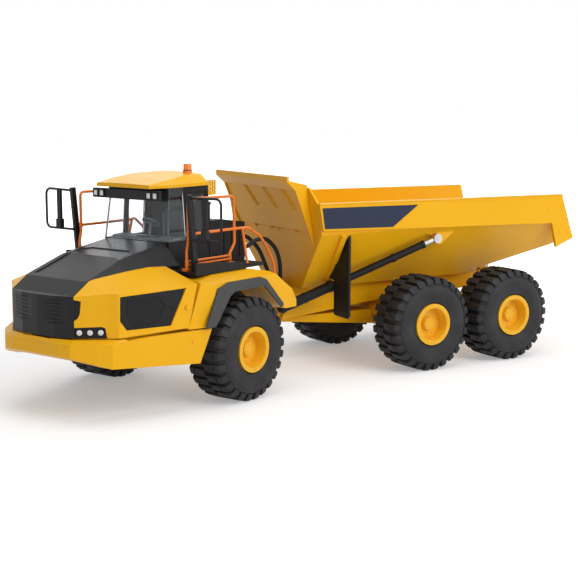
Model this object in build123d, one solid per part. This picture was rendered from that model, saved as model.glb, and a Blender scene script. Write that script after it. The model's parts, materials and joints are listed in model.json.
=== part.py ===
from build123d import *
import os
from math import cos, sin, pi, hypot, tan, radians

# Articulated dump truck, 1:16 model. Millimetres, +X forward along the rear unit, +Y left, +Z up.
# The origin is the floor point straight below the articulation pin.
# The front unit is modelled straight and then turned about the pin by its steering angle.

os.makedirs("parts", exist_ok=True)

steer_rest = 20.1          # degrees, front unit turned left at rest
seat_gap = 0.3             # between a piece and what it sits on

# Wheels and axles
tyre_radius = 58.7
tyre_width = 55.0
lug_height = 3.2
lug_count = 26             # in each of the two staggered rows
lug_share = 0.62           # share of the pitch that a lug fills
shoulder_half = 22.5       # half width of the tread
shoulder_radius = 51.0     # where the flat shoulder meets the side wall
wheel_track_y = 101.7      # from the centre plane to the middle of a tyre
rim_radius = 23.0
flange_radius = 25.8
rim_half_width = 25.8
hub_radius = 10.0
hub_inner_end = 24.0       # from the middle of the wheel
hub_outer_end = 12.5
spindle_radius = 5.0
spindle_clearance = 0.08
hub_gap = 0.5              # between the hub and the shoulder of the axle
axle_tube_radius = 8.5
axle_flange_radius = 13.0
diff_radius = 17.0
front_axle_x = 78.6
mid_axle_x = -238.0
rear_axle_x = -369.1
axle_z = tyre_radius

# Articulation
pin_radius = 6.0
pin_clearance = 0.06
pin_bottom_z = 40.0
pin_top_z = 100.0
hitch_boss_radius = 14.0
hitch_boss_z = (52.0, 88.0)
fork_gap = 1.0
fork_thickness = 7.0
fork_half_width = 16.0

# Rear frame
frame_half_width = 28.0
frame_wall = 8.0
frame_top_z = 103.7
frame_front_x = -58.0
bogie_x = (mid_axle_x + rear_axle_x) / 2
trunnion_z = axle_z + 16.0
trunnion_radius = 5.0
beam_inner_y = 40.3
beam_thickness = 9.7
tip_hinge_x = -404.0
tip_hinge_z = 112.0
tip_ear_radius = 5.8
tip_pin_radius = 3.0

# Dump body
tub_half_width = 104.0
rail_thickness = 4.0
floor_half_width = 42.0
tub_bottom_z = 104.0
tub_knee_z = 176.0
tub_wall = 3.0
rail_front_top = (-82.0, 212.0)
rail_front_bottom = (-87.5, 181.0)
rail_rear_bottom = (-449.0, 171.6)
rail_rear_top = (-466.0, 207.5)
rail_lip = 1.6
ear_front = (-457.6, 139.5)
ear_rear = (-487.3, 150.2)
front_bottom = (-98.5, tub_bottom_z)
floor_kink_x = -347.0
tail_x = -485.0
tail_z = 139.2
guard_half_width = 85.5
guard_side_plate = 3.0
headboard_top_z = 231.0
stripe_thickness = 0.6

# Hoist, one each side: base pivot on the frame, eye at the body's bracket
hoist_base = (-72.0, 41.0, 82.0)
hoist_eye = (-259.0, tub_half_width, 162.4)
bracket_inset = 7.8        # inner face of the bracket, in from the tub's side
bracket_thickness = 2.2
hoist_sleeve_radius = 6.3
hoist_tube_radius = 4.5
hoist_rod_radius = 3.5
hoist_rod_clearance = 0.1
hoist_sleeve_end = 68.0    # distances from the base pivot along the cylinder
hoist_tube_end = 195.6
hoist_rod_start = 17.0
hoist_clamp_place = 150.0
hoist_knuckle_radius = 6.8
hoist_ball_radius = 4.0
hoist_ball_clearance = 0.1
hoist_neck_radius = 2.3
hoist_mouth_radius = 3.6
hoist_eye_radius = 6.0
hoist_eye_reach = (-4.0, 3.5)

# Lower link between the frame and the middle axle
link_pin_x = -80.0
link_pin_z = 69.0
link_pin_radius = 3.5
link_half_width = 19.7

# Front unit, in its own straight frame
front_rail_y = (24.0, 32.0)
front_rail_top_z = 92.0
nose_tip_x = 281.5
nose_mid = (280.0, 25.0)
nose_corner = (273.5, 47.5)
cheek_end = (251.0, 73.6)
side_start = (244.5, 83.2)
side_spread = 0.3333       # how fast the side panels widen towards the rear
hood_bottom_z = 91.0
grille_top_z = 134.2
nose_crease = (254.0, 148.3)
hood_rear_x = 134.0
panel_wall = 3.0
hood_pin_x = 275.3
hood_pin_z = 93.6
hood_ear_radius = 1.8
hood_pin_radius = 1.2
bumper_edge_z = 86.0       # top edge of the bumper's front face
bumper_lip_z = 89.8
bumper_recess_z = 84.9     # top of the bumper behind its lip, under the grille
bumper_lip_gap = 0.8       # between the lip and the hood in plan
deck_z = 150.0
deck_thickness = 3.7
deck_edge_y = 99.0
kick_thickness = 3.0
fender_outer_y = 119.5
fender_inner_y = 74.0
flare_thickness = 2.3
cowl_half_width = 50.0

# Cab: its sides lean in, and its front is one clear moulding
cab_front_x = 133.0
cab_rear_x = 62.0
cab_floor_z = 150.0
cab_sill_z = 178.0
cab_top_z = 237.7
cab_half_low = 52.1        # half width at the floor
cab_half_high = 45.4       # half width at the top
cab_wall = 3.0
windscreen_top_x = 126.3
pillar_x = (101.5, 104.5)
door_edge = (66.5, 100.6)  # rear and front edge of the door
door_z = (154.0, 231.0)
door_gap = 0.3
door_hinge_gap = 1.1       # at the hinge edge, which turns inside it
door_swing_gap = 0.9       # at the free edge, whose inner corner swings forward
window_edge = (71.0, 98.0)
door_window_z = (180.0, 227.5)
hinge_radius = 1.3
hinge_x = 68.0
hinge_y = 50.0
hinge_length = 7.0
glass_wall = 1.5
glass_gap = 0.2            # round a pane
glass_depth = 0.8          # behind the face that the pane sits in
roof_bottom_z = 238.0
beacon_place = (75.0, 26.5)

# Rails and mirrors
rail_radius = 1.6
rail_y = 84.0
mirror_x = 143.5
mirror_y = (91.0, 136.0)
mirror_z = (185.0, 232.0)
hose_radius = 2.5


def solid_prism(points, direction, length):
    return extrude(make_face(Polyline(*points, close=True)), amount=length, dir=direction)


def prism_x(points, x_from, x_to):
    """A profile of (y, z) points carried from x_from to x_to."""
    return solid_prism([(x_from, y, z) for y, z in points], (1, 0, 0), x_to - x_from)


def prism_y(points, y_from, y_to):
    """A profile of (x, z) points carried from y_from to y_to."""
    return solid_prism([(x, y_from, z) for x, z in points], (0, 1, 0), y_to - y_from)


def prism_z(points, z_from, z_to):
    """A plan of (x, y) points carried from z_from to z_to."""
    return solid_prism([(x, y, z_from) for x, y in points], (0, 0, 1), z_to - z_from)


def box(x_range, y_range, z_range):
    size = [abs(r[1] - r[0]) for r in (x_range, y_range, z_range)]
    centre = [(r[0] + r[1]) / 2 for r in (x_range, y_range, z_range)]
    return Pos(*centre) * Box(*size)


def bar(start, end, radius):
    """A round bar between two points."""
    axis = Vector(*end) - Vector(*start)
    plane = Plane(origin=start, z_dir=axis)
    return plane * Cylinder(radius, axis.length, align=(Align.CENTER, Align.CENTER, Align.MIN))


def tube(points, radius, bend=None):
    """A round bar bent at its points, each bend as large as its runs allow, or at most bend."""
    places = [Vector(*p) for p in points]
    radii = []
    for before, here, after in zip(places, places[1:], places[2:]):
        turn = (here - before).get_angle(after - here)
        room = 0.45 * min((here - before).length, (after - here).length)
        widest = room / tan(radians(turn) / 2)
        radii.append(widest if bend is None else min(bend, widest))
    path = FilletPolyline(*points, radius=radii)
    start = Plane(origin=points[0], z_dir=places[1] - places[0])
    return sweep(start * Circle(radius), path=path)


def mirrored(solid):
    return mirror(solid, about=Plane.XZ)


def both(solid):
    """The left hand piece and its mirror image, as two solids of one node."""
    return Compound([solid, mirrored(solid)])


def both_plan(points):
    """A plan outline of (x, y) points from its left half."""
    return points + [(x, -y) for x, y in reversed(points)]


def both_section(points):
    """A cross section of (y, z) points from its left half."""
    return points + [(-y, z) for y, z in reversed(points)]


def fused(pieces):
    whole = pieces[0]
    for piece in pieces[1:]:
        whole = whole + piece
    return whole


def side_y(x):
    """Half width of the front unit's side panels at a place along it."""
    return side_start[1] + side_spread * (side_start[0] - x)


# Wheels

def toothed_ring(turn, y_from, y_to):
    """One row of lugs: a toothed disc with a hole."""
    pitch = 2 * pi / lug_count
    half = lug_share * pitch / 2
    points = []
    for tooth in range(lug_count):
        middle = (tooth + turn) * pitch
        for angle, radius in ((-half, tyre_radius - lug_height), (-half, tyre_radius),
                              (half, tyre_radius), (half, tyre_radius - lug_height)):
            points.append((radius * cos(middle + angle), radius * sin(middle + angle)))
    hole = Rot(90, 0, 0) * Cylinder(shoulder_radius, tyre_width)
    return prism_y(points, y_from, y_to) - hole


def tyre():
    bore = rim_radius + 0.1
    bead_y = rim_half_width - 3.4
    # radius, half width: bead, flange, lower and upper side wall, shoulder
    side = [
        (bore, bead_y - 2), (flange_radius + 0.3, bead_y), (31.0, 25.6), (42.0, tyre_width / 2),
        (shoulder_radius, shoulder_half),
    ]
    outline = side + [(r, -y) for r, y in reversed(side)]
    carcass = revolve(make_face(Polyline(*outline, close=True)), axis=Axis.Y)
    return carcass + toothed_ring(0.0, 0, shoulder_half) + toothed_ring(0.5, -shoulder_half, 0)


def rim():
    bore = spindle_radius + spindle_clearance
    flange_y = rim_half_width - 3.0
    dish_y = 9.0
    # radius, place across the wheel: hub, dish, flange, barrel and back
    outline = [
        (0, hub_outer_end), (0, 17.5), (8, 17.5), (9.5, hub_outer_end), (18.5, hub_outer_end),
        (20.5, rim_half_width), (flange_radius, rim_half_width), (flange_radius, flange_y),
        (rim_radius, flange_y - 1.5), (rim_radius, 1.5 - flange_y), (flange_radius, -flange_y),
        (flange_radius, -rim_half_width), (20.5, -rim_half_width), (18.5, dish_y), (hub_radius, dish_y),
        (hub_radius, -hub_inner_end), (bore, -hub_inner_end), (bore, hub_outer_end),
    ]
    return revolve(make_face(Polyline(*outline, close=True)), axis=Axis.Y)


def axle():
    reach = wheel_track_y + hub_outer_end - hub_gap
    shoulder = wheel_track_y - hub_inner_end - hub_gap
    flange = shoulder - 6.2
    half = [
        (spindle_radius, reach), (spindle_radius, shoulder), (axle_flange_radius, shoulder),
        (axle_flange_radius, flange), (axle_tube_radius, flange), (axle_tube_radius, 23.5), (diff_radius, 11),
    ]
    outline = [(0, reach)] + half + [(r, -y) for r, y in reversed(half)] + [(0, -reach)]
    return Pos(0, 0, axle_z) * revolve(make_face(Polyline(*outline, close=True)), axis=Axis.Y)


nodes = {}
front_nodes = {}
one_tyre = tyre()
one_rim = rim()
# name, axle place along its unit, which unit
axles = (("front", front_axle_x, front_nodes), ("mid", mid_axle_x, nodes), ("rear", rear_axle_x, nodes))
for name, x, unit in axles:
    for side, sign in (("left", 1), ("right", -1)):
        turn = Rot(0, 0, 0) if sign > 0 else Rot(0, 0, 180)
        place = Pos(x, sign * wheel_track_y, axle_z) * turn
        unit[f"tyre_{name}_{side}"] = place * one_tyre
        unit[f"rim_{name}_{side}"] = place * one_rim
    unit[f"axle_{name}"] = Pos(x, 0, 0) * axle()


# Rear unit

def rear_frame():
    outer = frame_half_width
    inner = outer - frame_wall
    rear_x = tip_hinge_x - 5
    side_profile = [
        (frame_front_x, frame_top_z), (frame_front_x, 63), (-77, 65), (-127, 69), (-171, 73),
        (-210, 77), (rear_x, 84), (rear_x, frame_top_z),
    ]
    pieces = [prism_y(side_profile, inner, outer), prism_y(side_profile, -outer, -inner)]
    # cross members: middle, length along the frame, bottom
    for x, depth, low in ((frame_front_x - 6, 12, 63), (-150, 16, 79), (bogie_x, 22, 79), (-392, 16, 79)):
        pieces.append(box((x - depth / 2, x + depth / 2), (-outer, outer), (low, frame_top_z)))
    ear = [
        (tip_hinge_x + 12, frame_top_z - 5), (tip_hinge_x + 5.6, tip_hinge_z + 1.5),
        (tip_hinge_x - 5.6, tip_hinge_z + 1.5), (rear_x, frame_top_z - 5),
    ]
    for y_from, y_to in ((inner, outer), (-outer, -inner)):
        pieces.append(prism_y(ear, y_from, y_to))
        pieces.append(bar((tip_hinge_x, y_from, tip_hinge_z), (tip_hinge_x, y_to, tip_hinge_z), tip_ear_radius))
    base_x, base_y, base_z = hoist_base
    for sign in (1, -1):
        boss_y = sign * (base_y - hoist_knuckle_radius - 0.6)
        pieces.append(bar((base_x, sign * (outer - 1), base_z), (base_x, boss_y, base_z), 6.5))
        pieces.append(bar((base_x, boss_y, base_z), (base_x, sign * base_y, base_z), hoist_neck_radius))
        pieces.append(Pos(base_x, sign * base_y, base_z) * Sphere(hoist_ball_radius))
    link_pin_ends = [(link_pin_x, y, link_pin_z) for y in (-outer - 5, outer + 5)]
    pieces.append(bar(*link_pin_ends, link_pin_radius))
    trunnion_y = beam_inner_y + beam_thickness + 4
    pieces.append(bar((bogie_x, -trunnion_y, trunnion_z), (bogie_x, trunnion_y, trunnion_z), trunnion_radius))
    pieces.append(box((bogie_x - 8.5, bogie_x + 8.5), (-outer, outer), (trunnion_z - 8, 90)))
    frame = fused(pieces)
    bore_ends = [(tip_hinge_x, y, tip_hinge_z) for y in (-outer - 1, outer + 1)]
    return frame - bar(*bore_ends, tip_pin_radius + 0.05)


def hitch_ring():
    low, high = hitch_boss_z
    middle_z = (low + high) / 2
    boss = bar((0, 0, low), (0, 0, high), hitch_boss_radius)
    neck = box((frame_front_x + 11, 0), (-10, 10), (low + 4, high - 4))
    ring = bar((frame_front_x + 12, 0, middle_z), (frame_front_x, 0, middle_z), 26)
    bore = bar((0, 0, low - 1), (0, 0, high + 1), pin_radius + pin_clearance)
    return boss + neck + ring - bore


def bogie_beam():
    y_from, y_to = (beam_inner_y, beam_inner_y + beam_thickness)
    profile = [
        (mid_axle_x + 13, axle_z - 9), (mid_axle_x + 13, axle_z + 9), (bogie_x + 13.5, trunnion_z + 11),
        (bogie_x - 13.5, trunnion_z + 11), (rear_axle_x - 13, axle_z + 9), (rear_axle_x - 13, axle_z - 9),
        (bogie_x, axle_z - 2),
    ]
    beam = prism_y(profile, y_from, y_to)
    for x, z, radius in (
        (mid_axle_x, axle_z, axle_tube_radius),
        (rear_axle_x, axle_z, axle_tube_radius),
        (bogie_x, trunnion_z, trunnion_radius),
    ):
        beam = beam - bar((x, y_from - 1, z), (x, y_to + 1, z), radius + 0.05)
    return beam


def tub_hull():
    half = tub_half_width
    top_z = rail_front_top[1] + 1
    section = both_section([(half, top_z), (half, tub_knee_z), (floor_half_width, tub_bottom_z)])
    side = [rail_front_top, front_bottom, (floor_kink_x, tub_bottom_z), (tail_x, tail_z), rail_rear_top]
    return prism_x(section, -60, -500) & prism_y(side, -half - 1, half + 1)


def tub_front_x(z):
    """Place of the dump body's front face at a height."""
    top_x, top_z = rail_front_top
    return top_x - (top_x - front_bottom[0]) * (top_z - z) / (top_z - front_bottom[1])


def belly_rib():
    rise, run = (tub_knee_z - tub_bottom_z, tub_half_width - floor_half_width)
    length = hypot(rise, run)
    out_y, out_z = (rise / length, -run / length)
    low_y, high_y = (floor_half_width + 6, tub_half_width - 0.5)

    def on_slope(x, y):
        return (x, y - 0.5 * out_y, tub_bottom_z + (y - floor_half_width) * rise / run - 0.5 * out_z)

    corners = [on_slope(-115, high_y), on_slope(-122, high_y), on_slope(-135, low_y), on_slope(-127, low_y)]
    return solid_prism(corners, (0, out_y, out_z), 4.5)


def tub():
    half = tub_half_width
    inner_half = half - tub_wall
    inner_floor = floor_half_width - 1.6
    top = headboard_top_z + 10
    lift = tub_wall
    inner_section = both_section([
        (inner_half, top), (inner_half, tub_knee_z + 1.4), (inner_floor, tub_bottom_z + lift),
    ])
    tail_slope = (tail_z - tub_bottom_z) / (floor_kink_x - tail_x)
    inner_side = [
        (rail_front_top[0] + 1.2, top), (front_bottom[0] - lift, tub_bottom_z + lift),
        (floor_kink_x - 0.4, tub_bottom_z + lift), (tail_x - 20, tail_z + lift + 20 * tail_slope),
        (tail_x - 20, top),
    ]
    inner = prism_x(inner_section, -60, -520) & prism_y(inner_side, -half, half)
    rib = belly_rib()
    body = tub_hull() - inner + rib + mirrored(rib)
    headboard = prism_x(both_section([(half, 211), (88, headboard_top_z)]), -60, -120)
    high = headboard_top_z + 2
    low = rail_front_top[1] - 3
    front = [(tub_front_x(z), z) for z in (high, low)]
    front += [(x - tub_wall, z) for x, z in reversed(front)]
    body = body + (headboard & prism_y(front, -half, half))
    lug_profile = [
        (tip_hinge_x - 10, 121), (tip_hinge_x - 5.5, tip_hinge_z), (tip_hinge_x + 5.5, tip_hinge_z),
        (tip_hinge_x + 16, 117),
    ]
    inner_y = frame_half_width - frame_wall - 0.5
    for y_from, y_to in ((inner_y - 6, inner_y), (-inner_y, 6 - inner_y)):
        lug = prism_y(lug_profile, y_from, y_to)
        lug = lug + bar((tip_hinge_x, y_from, tip_hinge_z), (tip_hinge_x, y_to, tip_hinge_z), 5.5)
        body = body + lug
    into_floor = tub_wall / 2
    bracket_top = [
        (x, tub_bottom_z + (floor_kink_x - x) * tail_slope + into_floor) for x in (-466, -480)
    ]
    tail_bracket = prism_y(bracket_top + [(-478, 127), (-470, 126.5)], -14, 14)
    pin = bar((tip_hinge_x, -30, tip_hinge_z), (tip_hinge_x, 30, tip_hinge_z), tip_pin_radius + 0.08)
    return body + tail_bracket - pin


def body_rail():
    inner, outer = (tub_half_width, tub_half_width + rail_thickness)
    profile = [rail_front_top, rail_rear_top, ear_rear, ear_front, rail_rear_bottom, rail_front_bottom]
    lip = [
        rail_front_top, (rail_front_top[0] + 0.3, rail_front_top[1] + rail_lip),
        (rail_rear_top[0] - 0.8, rail_rear_top[1] + rail_lip), rail_rear_top,
    ]
    rail = prism_y(profile, inner, outer) + prism_y(lip, inner, outer + 0.8)
    cover = prism_y(lip, inner - tub_wall, inner)
    return rail + (cover - box((rail_front_top[0] - 4.2, 0), (0, inner + 1), (200, 250)))


def stripe_plate():
    outer = tub_half_width + rail_thickness
    top_x, top_z = rail_front_top
    low_x, low_z = rail_front_bottom
    outline = [(top_x - 3.6, top_z - 3.8), (-226, 206.2), (-188, 180.9), (low_x - 1.8, low_z + 2.6)]
    return prism_y(outline, outer, outer + stripe_thickness)


def spill_guard():
    # x, z down the front face, from the top lip to the lower end of the side plates
    face = [(-50.5, 245), (-50.5, 239), (-53.5, 236), (-62, 228.5), (-67.5, 215), (-76, 193)]
    back = [(tub_front_x(234.4) + seat_gap, 234.4), (-53.5, 240), (-53.5, 245)]
    half = guard_half_width
    inner = half - guard_side_plate
    plate = prism_y(face + [(tub_front_x(160) + seat_gap, 160)] + back, inner, half)
    lip = prism_y(face[:4] + back, -inner, inner)
    sheet_front = [(x - 1.8, z) for x, z in face[3:]]
    sheet_foot = [(-84.5, 178), (tub_front_x(178) + seat_gap, 178), back[0]]
    into_lip = [(sheet_front[0][0], 232)]
    sheet = prism_y(into_lip + sheet_front + sheet_foot, -inner, inner)
    guard = plate + mirrored(plate) + lip + sheet
    # pairs of slanted ribs on the face: where each pair starts at the top
    for top_y in (50.0, 6.0, -38.0):
        for step in (0.0, 4.5):
            top = Vector(-64.8, top_y + step, 228)
            foot = Vector(-74.4, top_y + step + 15, 204)
            across = Vector(0, 1.6, 0)
            rib = solid_prism([top, foot, foot + across, top + across], (1, 0, -0.4), 1.6)
            guard = guard + rib
    return guard


def mud_flap():
    profile = [
        (101.5, 180), (56, 130), (56, 117.5), (69.5, 115), (69.5, 74), (73, 72.5), (98, 71.5), (101.5, 76),
    ]
    return prism_x(profile, -128, -131) - tub_hull() - belly_rib()


def cylinder_bracket():
    inner = tub_half_width - bracket_inset
    eye_x, eye_y, eye_z = hoist_eye
    profile = [
        (eye_x + 23, 178), (eye_x - 32, 178), (eye_x - 32, eye_z + 7), (eye_x - 13, eye_z - 8),
        (eye_x - 7, eye_z - 8), (eye_x + 5, eye_z + 4.6), (eye_x + 23, eye_z + 8.6),
    ]
    return prism_y(profile, inner, inner + bracket_thickness) - tub_hull()


def hoist_points():
    base = Vector(*hoist_base)
    eye = Vector(*hoist_eye)
    along = (eye - base).normalized()
    return base, eye, along


def hoist_barrel():
    base, eye, along = hoist_points()

    def length(start, end, radius):
        return bar(base + along * start, base + along * end, radius)

    # start and end along the cylinder, radius: sleeve, its end ring, tube, clamp
    pieces = [
        length(4, hoist_sleeve_end, hoist_sleeve_radius),
        length(hoist_sleeve_end - 6, hoist_sleeve_end, hoist_sleeve_radius + 0.9),
        length(hoist_sleeve_end - 1, hoist_tube_end, hoist_tube_radius),
        length(hoist_clamp_place, hoist_clamp_place + 4, hoist_tube_radius + 0.9),
        Pos(*base) * Sphere(hoist_knuckle_radius),
    ]
    socket = Pos(*base) * Sphere(hoist_ball_radius + hoist_ball_clearance)
    mouth = bar((base.X, base.Y - 12, base.Z), (base.X, base.Y, base.Z), hoist_mouth_radius)
    bore = length(hoist_rod_start - 2, hoist_tube_end + 1, hoist_rod_radius + hoist_rod_clearance)
    return fused(pieces) - bore - socket - mouth


def hoist_rod():
    base, eye, along = hoist_points()
    rod = bar(base + along * hoist_rod_start, eye - along * 3, hoist_rod_radius)
    near, far = hoist_eye_reach
    ring = bar((eye.X, eye.Y + near, eye.Z), (eye.X, eye.Y + far, eye.Z), hoist_eye_radius)
    pin_head = bar((eye.X, eye.Y + far, eye.Z), (eye.X, eye.Y + far + 0.6, eye.Z), 2.4)
    return rod + ring + pin_head


def lower_link():
    rear_x = mid_axle_x + diff_radius + seat_gap
    profile = [(link_pin_x, 61), (link_pin_x, 66), (-96, 66), (rear_x, 64.5), (rear_x, 46)]
    eye = bar((link_pin_x, -link_half_width, link_pin_z), (link_pin_x, link_half_width, link_pin_z), 7)
    bore = bar((link_pin_x, -30, link_pin_z), (link_pin_x, 30, link_pin_z), link_pin_radius + 0.05)
    return prism_y(profile, -link_half_width, link_half_width) + eye - bore


pin_reach = frame_half_width + 2
nodes["rear_frame"] = rear_frame()
nodes["hitch_ring"] = hitch_ring()
nodes["lower_link"] = lower_link()
nodes["tip_hinge_pin"] = bar(
    (tip_hinge_x, -pin_reach, tip_hinge_z), (tip_hinge_x, pin_reach, tip_hinge_z), tip_pin_radius
)
nodes["dump_body"] = tub()
nodes["spill_guard"] = spill_guard()
nodes["bogie_beams"] = both(bogie_beam())
nodes["body_rails"] = both(body_rail())
nodes["stripe_plates"] = both(stripe_plate())
nodes["mud_flaps"] = both(mud_flap())
nodes["cylinder_brackets"] = both(cylinder_bracket())
nodes["hoist_barrel_left"] = hoist_barrel()
nodes["hoist_barrel_right"] = mirrored(hoist_barrel())
nodes["hoist_rod_left"] = hoist_rod()
nodes["hoist_rod_right"] = mirrored(hoist_rod())


# Front unit

def front_frame():
    y_in, y_out = front_rail_y
    bottom = axle_z + axle_tube_radius + 0.2
    low, high = hitch_boss_z
    rail = box((24, 262), (y_in, y_out), (bottom, front_rail_top_z))
    pieces = [rail, mirrored(rail)]
    for sign in (1, -1):
        near, far = (sign * 14, sign * 18)
        ear_y = sorted((near, far))
        arm_z = (hood_pin_z - 1.2, hood_pin_z + 1.2)
        pieces.append(box((260, hood_pin_x - 4), ear_y, (bumper_recess_z + 0.4, arm_z[1])))
        pieces.append(box((hood_pin_x - 5, hood_pin_x), ear_y, arm_z))
        pieces.append(bar((hood_pin_x, near, hood_pin_z), (hood_pin_x, far, hood_pin_z), hood_ear_radius))
        pieces.append(bar((hood_pin_x, near, hood_pin_z), (hood_pin_x, sign * 22, hood_pin_z), hood_pin_radius))
    plate = [(-12, -fork_half_width), (36, -y_out), (36, y_out), (-12, fork_half_width)]
    lower_top = low - fork_gap
    upper_top = high + fork_gap + fork_thickness
    for z_top in (lower_top, upper_top):
        pieces.append(prism_z(plate, z_top - fork_thickness, z_top))
        pieces.append(bar((-4, 0, z_top - fork_thickness), (-4, 0, z_top), fork_half_width - 0.5))
    pieces.append(box((28, 36), (-y_out, y_out), (lower_top - fork_thickness, upper_top - fork_thickness + 1)))
    pieces.append(box((250, 267.7), (-y_out, y_out), (bottom, bumper_recess_z - seat_gap)))
    pieces.append(box((250, 262), (-y_out, y_out), (bottom, front_rail_top_z)))
    frame = fused(pieces)
    bore = bar((0, 0, pin_bottom_z), (0, 0, pin_top_z + 10), pin_radius + 0.02)
    return frame - bore


def nose_plan(gap):
    """Left half of the hood's plan, set out by a gap."""
    return [
        (nose_tip_x + gap, 0), (nose_mid[0] + gap, nose_mid[1]),
        (nose_corner[0] + gap, nose_corner[1] + gap / 2),
        (cheek_end[0] + gap * 0.8, cheek_end[1] + gap * 0.6), (side_start[0] + gap / 2, side_start[1] + gap),
    ]


def bumper():
    edge = [(286.5, 0), (286, 35), (283, 50.4), (264.8, 72.6), (254.2, 83.2)]
    tail = [(139.3, 118.2), (153, 108), (246, 79), (268, 40)]
    body = prism_z(both_plan(edge[1:] + tail), 53, 92)
    under = [(300, 78.5), (254.3, 60), (153.7, 53.9), (139, 91), (120, 91), (120, 40), (300, 40)]
    over = [
        (300, bumper_edge_z), (254, bumper_edge_z), (230, 88.5), (210, 89.6), (140, 90.6), (120, 90.6),
        (120, 110), (300, 110),
    ]
    body = body - prism_y(under, -130, 130) - prism_y(over, -130, 130)
    rear_of_lip = (236, 86.4)
    low_ring = both_plan(edge + [(rear_of_lip[0], 88.7)])
    high_ring = both_plan(nose_plan(bumper_lip_gap + 0.6) + [rear_of_lip])
    faces = [
        make_face(Polyline(*[(x, y, z) for x, y in ring], close=True))
        for ring, z in ((low_ring, bumper_edge_z), (high_ring, bumper_lip_z))
    ]
    lip = loft(faces, ruled=True)
    hood_room = both_plan(nose_plan(bumper_lip_gap) + [(200, side_y(200))])
    body = body + (lip - prism_z(hood_room, 80, 95))
    for front_x, half in ((nose_tip_x + bumper_lip_gap, 20), (nose_corner[0], 44)):
        body = body - box((262, front_x), (-half, half), (bumper_recess_z, 95))
    boss_x, boss_z = (161.3, 78.4)
    boss_y = side_y(boss_x) - 0.6
    boss = bar((boss_x, boss_y - 3, boss_z), (boss_x, boss_y + 1.6, boss_z), 2.4)
    return body + boss + mirrored(boss)


def engine_block():
    inner = front_rail_y[0] - seat_gap
    return box((150, 240), (-inner, inner), (72, 124))


def hood_shell():
    # x, then (y, z) of shoulder, facet top and hood edge; the side wall stands under the shoulder
    sections = (
        (284.0, (35.5, 134.0), (35.2, 134.2), (34.9, 134.4)),
        (nose_corner[0], (nose_corner[1], 134.6), (47.2, 134.8), (46.9, 135.0)),
        (cheek_end[0], (cheek_end[1], 137.2), (47.4, 148.6), (45.5, 150.6)),
        (side_start[0], (side_start[1], 137.3), (48.6, 150.0), (45.4, 152.8)),
        (205.0, (side_y(205), 137.8), (56.0, 154.5), (45.0, 165.5)),
        (176.0, (side_y(176), 138.8), (61.0, 156.5), (45.0, 171.0)),
        (hood_rear_x, (side_y(hood_rear_x), 142.5), (66.0, 154.0), (45.0, 177.5)),
    )

    def skin(inset, bottom):
        faces = []
        for x, shoulder, facet, edge in sections:
            half = [(y - inset, z - inset) for y, z in (shoulder, facet, edge)]
            half = [(shoulder[0] - inset, bottom)] + half
            faces.append(make_face(Polyline(*[(x, y, z) for y, z in both_section(half)], close=True)))
        return loft(faces, ruled=True)

    def nose(inset):
        plan = [(nose_tip_x - inset, 0), (nose_mid[0] - inset, nose_mid[1]), (271.5 - inset, 54.5), (200, 150)]
        return prism_z(both_plan(plan + [(100, 150)]), 70, 200)

    top = [
        (290, grille_top_z), (nose_tip_x, grille_top_z), nose_crease, (197, 168), (hood_rear_x, 177.6),
    ]
    under = [(240, hood_bottom_z), (165, 94), (100, 96), (100, 80), (240, 80)]
    outer = skin(0, hood_bottom_z) & nose(0) & prism_y(top + [(hood_rear_x, 80), (290, 80)], -130, 130)
    inner_top = [(x, z - panel_wall * 0.9) for x, z in top[:-1]] + [(120, 177)]
    inner = skin(panel_wall, 80) & nose(panel_wall) & prism_y(inner_top + [(120, 80), (290, 80)], -130, 130)
    return outer - inner - prism_y(under, -130, 130)


cheek_length = hypot(nose_corner[0] - cheek_end[0], cheek_end[1] - nose_corner[1])
cheek_along = Vector(cheek_end[0] - nose_corner[0], cheek_end[1] - nose_corner[1], 0).normalized()
cheek_out = Vector(cheek_along.Y, -cheek_along.X, 0)


def cheek_point(along, z, out):
    return Vector(nose_corner[0], nose_corner[1], z) + cheek_along * along + cheek_out * out


def cheek_prism(outline, out, deep):
    """An outline of (distance along the cheek, z) points carried from out to deep behind the cheek's face."""
    return solid_prism([cheek_point(s, z, out) for s, z in outline], cheek_out * -1, out + deep)


notch_outline = [(-4, 132.4), (7.5, 129.9), (6.0, 116.5), (3.4, 111.7), (-4, 107.0)]
lamp_outline = [(-0.3, 102.3), (28.6, 103.2), (32.0, 101.5), (cheek_length - 0.8, 91.0), (-0.3, 91.0)]
lamp_places = (5.0, 16.0, 27.0)
lamp_z = 97.0


def grille_slats():
    """A recess across the front with slats in it, both following the nose in plan."""

    def strip(out, deep, half, z_from, z_to):
        front = both_plan([(nose_tip_x + out, 0), (nose_mid[0] + out, nose_mid[1]),
                           (nose_corner[0] + out, nose_corner[1])])
        back = both_plan([(nose_corner[0] - deep, nose_corner[1]), (nose_mid[0] - deep, nose_mid[1]),
                          (nose_tip_x - deep, 0)])
        left_front = [p for p in front if p[1] >= 0]
        left_back = [p for p in back if p[1] >= 0]
        left = prism_z(left_front + left_back[:3], z_from, z_to)
        return (left + mirrored(left)) & box((250, 300), (-half, half), (z_from, z_to))

    recess = strip(1.0, 1.3, 42.0, 109.5, 131.0)
    groove = strip(1.0, 0.8, 60.0, 106.0, 106.9)
    slats = [strip(-0.3, 2.0, 42.5, z, z + 1.1) for z in (113.0, 117.0, 121.0, 125.0, 129.0)]
    return recess + groove, fused(slats)


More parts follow.
